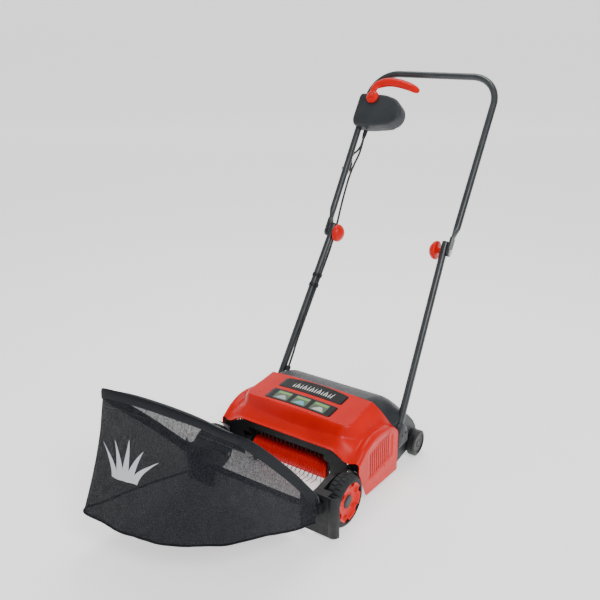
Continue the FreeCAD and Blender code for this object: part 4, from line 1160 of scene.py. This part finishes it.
def lever_and_button():
    """The pull lever: a smooth curved arm with a point, on a domed boss round the lock-off button."""
    steps = 60
    front_way = HANDLE.to_3x3() @ Vector((0, -1, 0))
    spots = [through(LEVER_PATH, step / steps) for step in range(steps + 1)]
    path = []
    for index, spot in enumerate(spots):
        back = -39 + 7 * ease((index / steps - 0.12) / 0.3)
        path.append(in_handle(spot.x, back, spot.y))
    depth = [6 + 5 * ease((index / steps - 0.1) / 0.35) for index in range(steps + 1)]

    def section(share):
        index = round(share * steps)
        tip = ease((1 - share) / 0.16)
        return oval(max(spots[index].z, 1) * MM, max(depth[index] * tip, 1.2) * MM, 20)

    arm = sweep("lever_arm", path, section, lambda index: -front_way)
    pivot = in_handle(-186, -34, 478)
    across = HANDLE.to_3x3() @ Vector((1, 0, 0))
    place = Matrix((front_way, across, front_way.cross(across))).transposed().to_4x4()
    place.translation = pivot
    eye = lathe("lever_eye", EYE, place, 72)
    settle(joined("lever", [arm, eye]), "lever", "red_gloss", "switch_lever")
    button = lathe("lock_off_cap", BUTTON, place, 48)
    settle(button, "button", "red_gloss", "lock_off_button")


switch_box()
lever_and_button()

# ---- motor lead, mains lead and plug
DOWN = Matrix.Rotation(math.radians(90), 4, "Y")
RELIEF_TOP = 368.4
PLUG = mm(((0, 3.6), (0, 5.2), (4, 6.2), (4.5, 5.4), (7.5, 7), (8, 6.2), (11, 8), (11.5, 7.2), (14.5, 9.2),
           (17.5, 11.2), (22, 12.4), (30, 13), (39, 14), (41.5, 15.2), (42, 18), (43.2, 18.5),
           (46.5, 18.5), (47, 18), (47, 0.5), (17, 0.5), (16.5, 3.6)))
PIN = mm(((0, 0.3), (0, 2.4), (17, 2.4), (18.4, 1.8), (19, 0.3)))


def below(x, y, z):
    """A frame in the handle whose X axis points down the legs, for pieces turned about a cord."""
    return HANDLE @ Matrix.Translation(Vector((x, y, z)) * MM) @ DOWN


def motor_lead():
    """One continuous lead from the switch box to the housing, running past the fold joint."""
    line = spline("motor_lead_line", LEAD_ROUTE, LEAD_RADIUS)
    lead = link_mesh("motor_lead_cable", shown_mesh(line))
    bpy.data.objects.remove(line)
    lead.data.materials.clear()
    lead.data.materials.append(MATERIALS["cord_rubber"])
    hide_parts("motor_lead")
    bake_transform(lead)


def mains_lead():
    """The short cord with its plug, which hangs from the switch box."""
    plug = lathe("plug_body", PLUG, PLUG_SEAT @ DOWN, 64, plug_shape)
    settle(plug, "handle", "cord_rubber", "mains_plug")
    pins = []
    for shift in (-0.0095, 0.0095):
        pins.append(lathe("pin", PIN, PLUG_SEAT @ Matrix.Translation((shift, 0, -0.047)) @ DOWN, 24))
    pins = settle(joined("plug_pins", pins), "handle", "brass_pin")
    cable = spline("mains_pigtail_cable", PIGTAIL_ROUTE, LEAD_RADIUS)
    settle(cable, "handle", "cord_rubber", "mains_pigtail")


def plug_shape(r, angle, along):
    """Grip flutes round the plug's body."""
    if 0.018 < along < 0.040:
        return r - 0.0007 * (0.5 + 0.5 * math.cos(angle * 14))
    return r


def strain_reliefs():
    """Ribbed tapered sleeves where the two cords leave the switch box."""
    for name, x, y, length in (("lead_relief", -190, -6, 0.024), ("pigtail_relief", -203, 14, 0.020)):
        outline = [(0.0, LEAD_RADIUS), (0.0, 0.0078)]
        ribs = 5
        for rib in range(ribs):
            start = length * (0.12 + 0.86 * rib / ribs)
            wide = 0.0074 - 0.0022 * rib / ribs
            outline += [(start, wide - 0.0009), (start + length * 0.05, wide), (start + length * 0.11, wide)]
        outline += [(length, 0.0050), (length, LEAD_RADIUS)]
        relief = lathe(name + "_sleeve", outline, below(x, y, RELIEF_TOP), 40, sharp=math.radians(50))
        settle(relief, "handle", "black_plastic", name)


motor_lead()
mains_lead()
strain_reliefs()


# ---- CAD pieces that keep their shape
def finish_cad_nodes():
    """Material and softened edges for the CAD nodes that are shown as they are."""
    slot_of = {entry["node"]: entry["material_slot"] for entry in frame["record"]["subparts"]}
    rounding = {"base_pan": 0.0005, "belt_guard": 0.0008, "motor_mount": 0.001, "cable_clips": 0.0005,
                "wheel_guard_left": 0.0011, "wheel_guard_right": 0.0011}
    for name, node in NODES.items():
        if node.hide_render:
            continue
        node.data.materials.clear()
        node.data.materials.append(MATERIALS[slot_of[name]])
        if name in rounding:
            weld = node.modifiers.new("weld", "WELD")
            weld.merge_threshold = 0.00002
            bevel = node.modifiers.new("soft edges", "BEVEL")
            bevel.width = rounding[name]
            bevel.segments = 2
            bevel.limit_method = "ANGLE"
            bevel.angle_limit = math.radians(35)
            bevel.harden_normals = True


finish_cad_nodes()


# ---- floor and light
LAMPS = (("key", (2.4, -1.6, 2.8), 75, 1.3), ("fill", (-2.8, -2.6, 1.8), 16, 2.2),
         ("top", (-0.4, 0.9, 3.4), 50, 1.5))


def make_stage():
    """A pale floor that curves up into a backdrop, and soft lamps."""
    profile = [(-9.0, 0.0), (7.0, 0.0)]
    profile += [(7.0 + 3.0 * math.sin(math.radians(a)), 3.0 - 3.0 * math.cos(math.radians(a)))
                for a in range(6, 91, 6)]
    profile.append((10.0, 12.0))
    turn = Matrix.Rotation(VIEW_TURN, 4, "Z")
    points = [turn @ Vector((x, y, z)) for y, z in profile for x in (-12.0, 12.0)]
    floor = build("floor", points, grid_faces(len(profile), 2))
    paint = Recipe("floor_paint")
    paint.tone(paint.noise(3, 3), (0.90, 0.90, 0.90), (0.93, 0.93, 0.93))
    paint.roughness(paint.mottle(8, 3, 0, 1, 0.85, 0.95))
    paint.shader.inputs["Emission Color"].default_value = (1, 1, 1, 1)
    paint.shader.inputs["Emission Strength"].default_value = 0.8
    floor.data.materials.append(paint.material)
    world = bpy.data.worlds.new("studio")
    bpy.context.scene.world = world
    world.use_nodes = True
    world.node_tree.nodes["Background"].inputs["Color"].default_value = (1, 1, 1, 1)
    world.node_tree.nodes["Background"].inputs["Strength"].default_value = 0.42
    for name, spot, energy, breadth in LAMPS:
        data = bpy.data.lights.new(name, "AREA")
        data.energy = energy
        data.size = breadth
        lamp = shown(name, data)
        lamp.location = spot
        lamp.rotation_euler = (Vector((0, 0, 0.3)) - lamp.location).to_track_quat("-Z", "Y").to_euler()


make_stage()
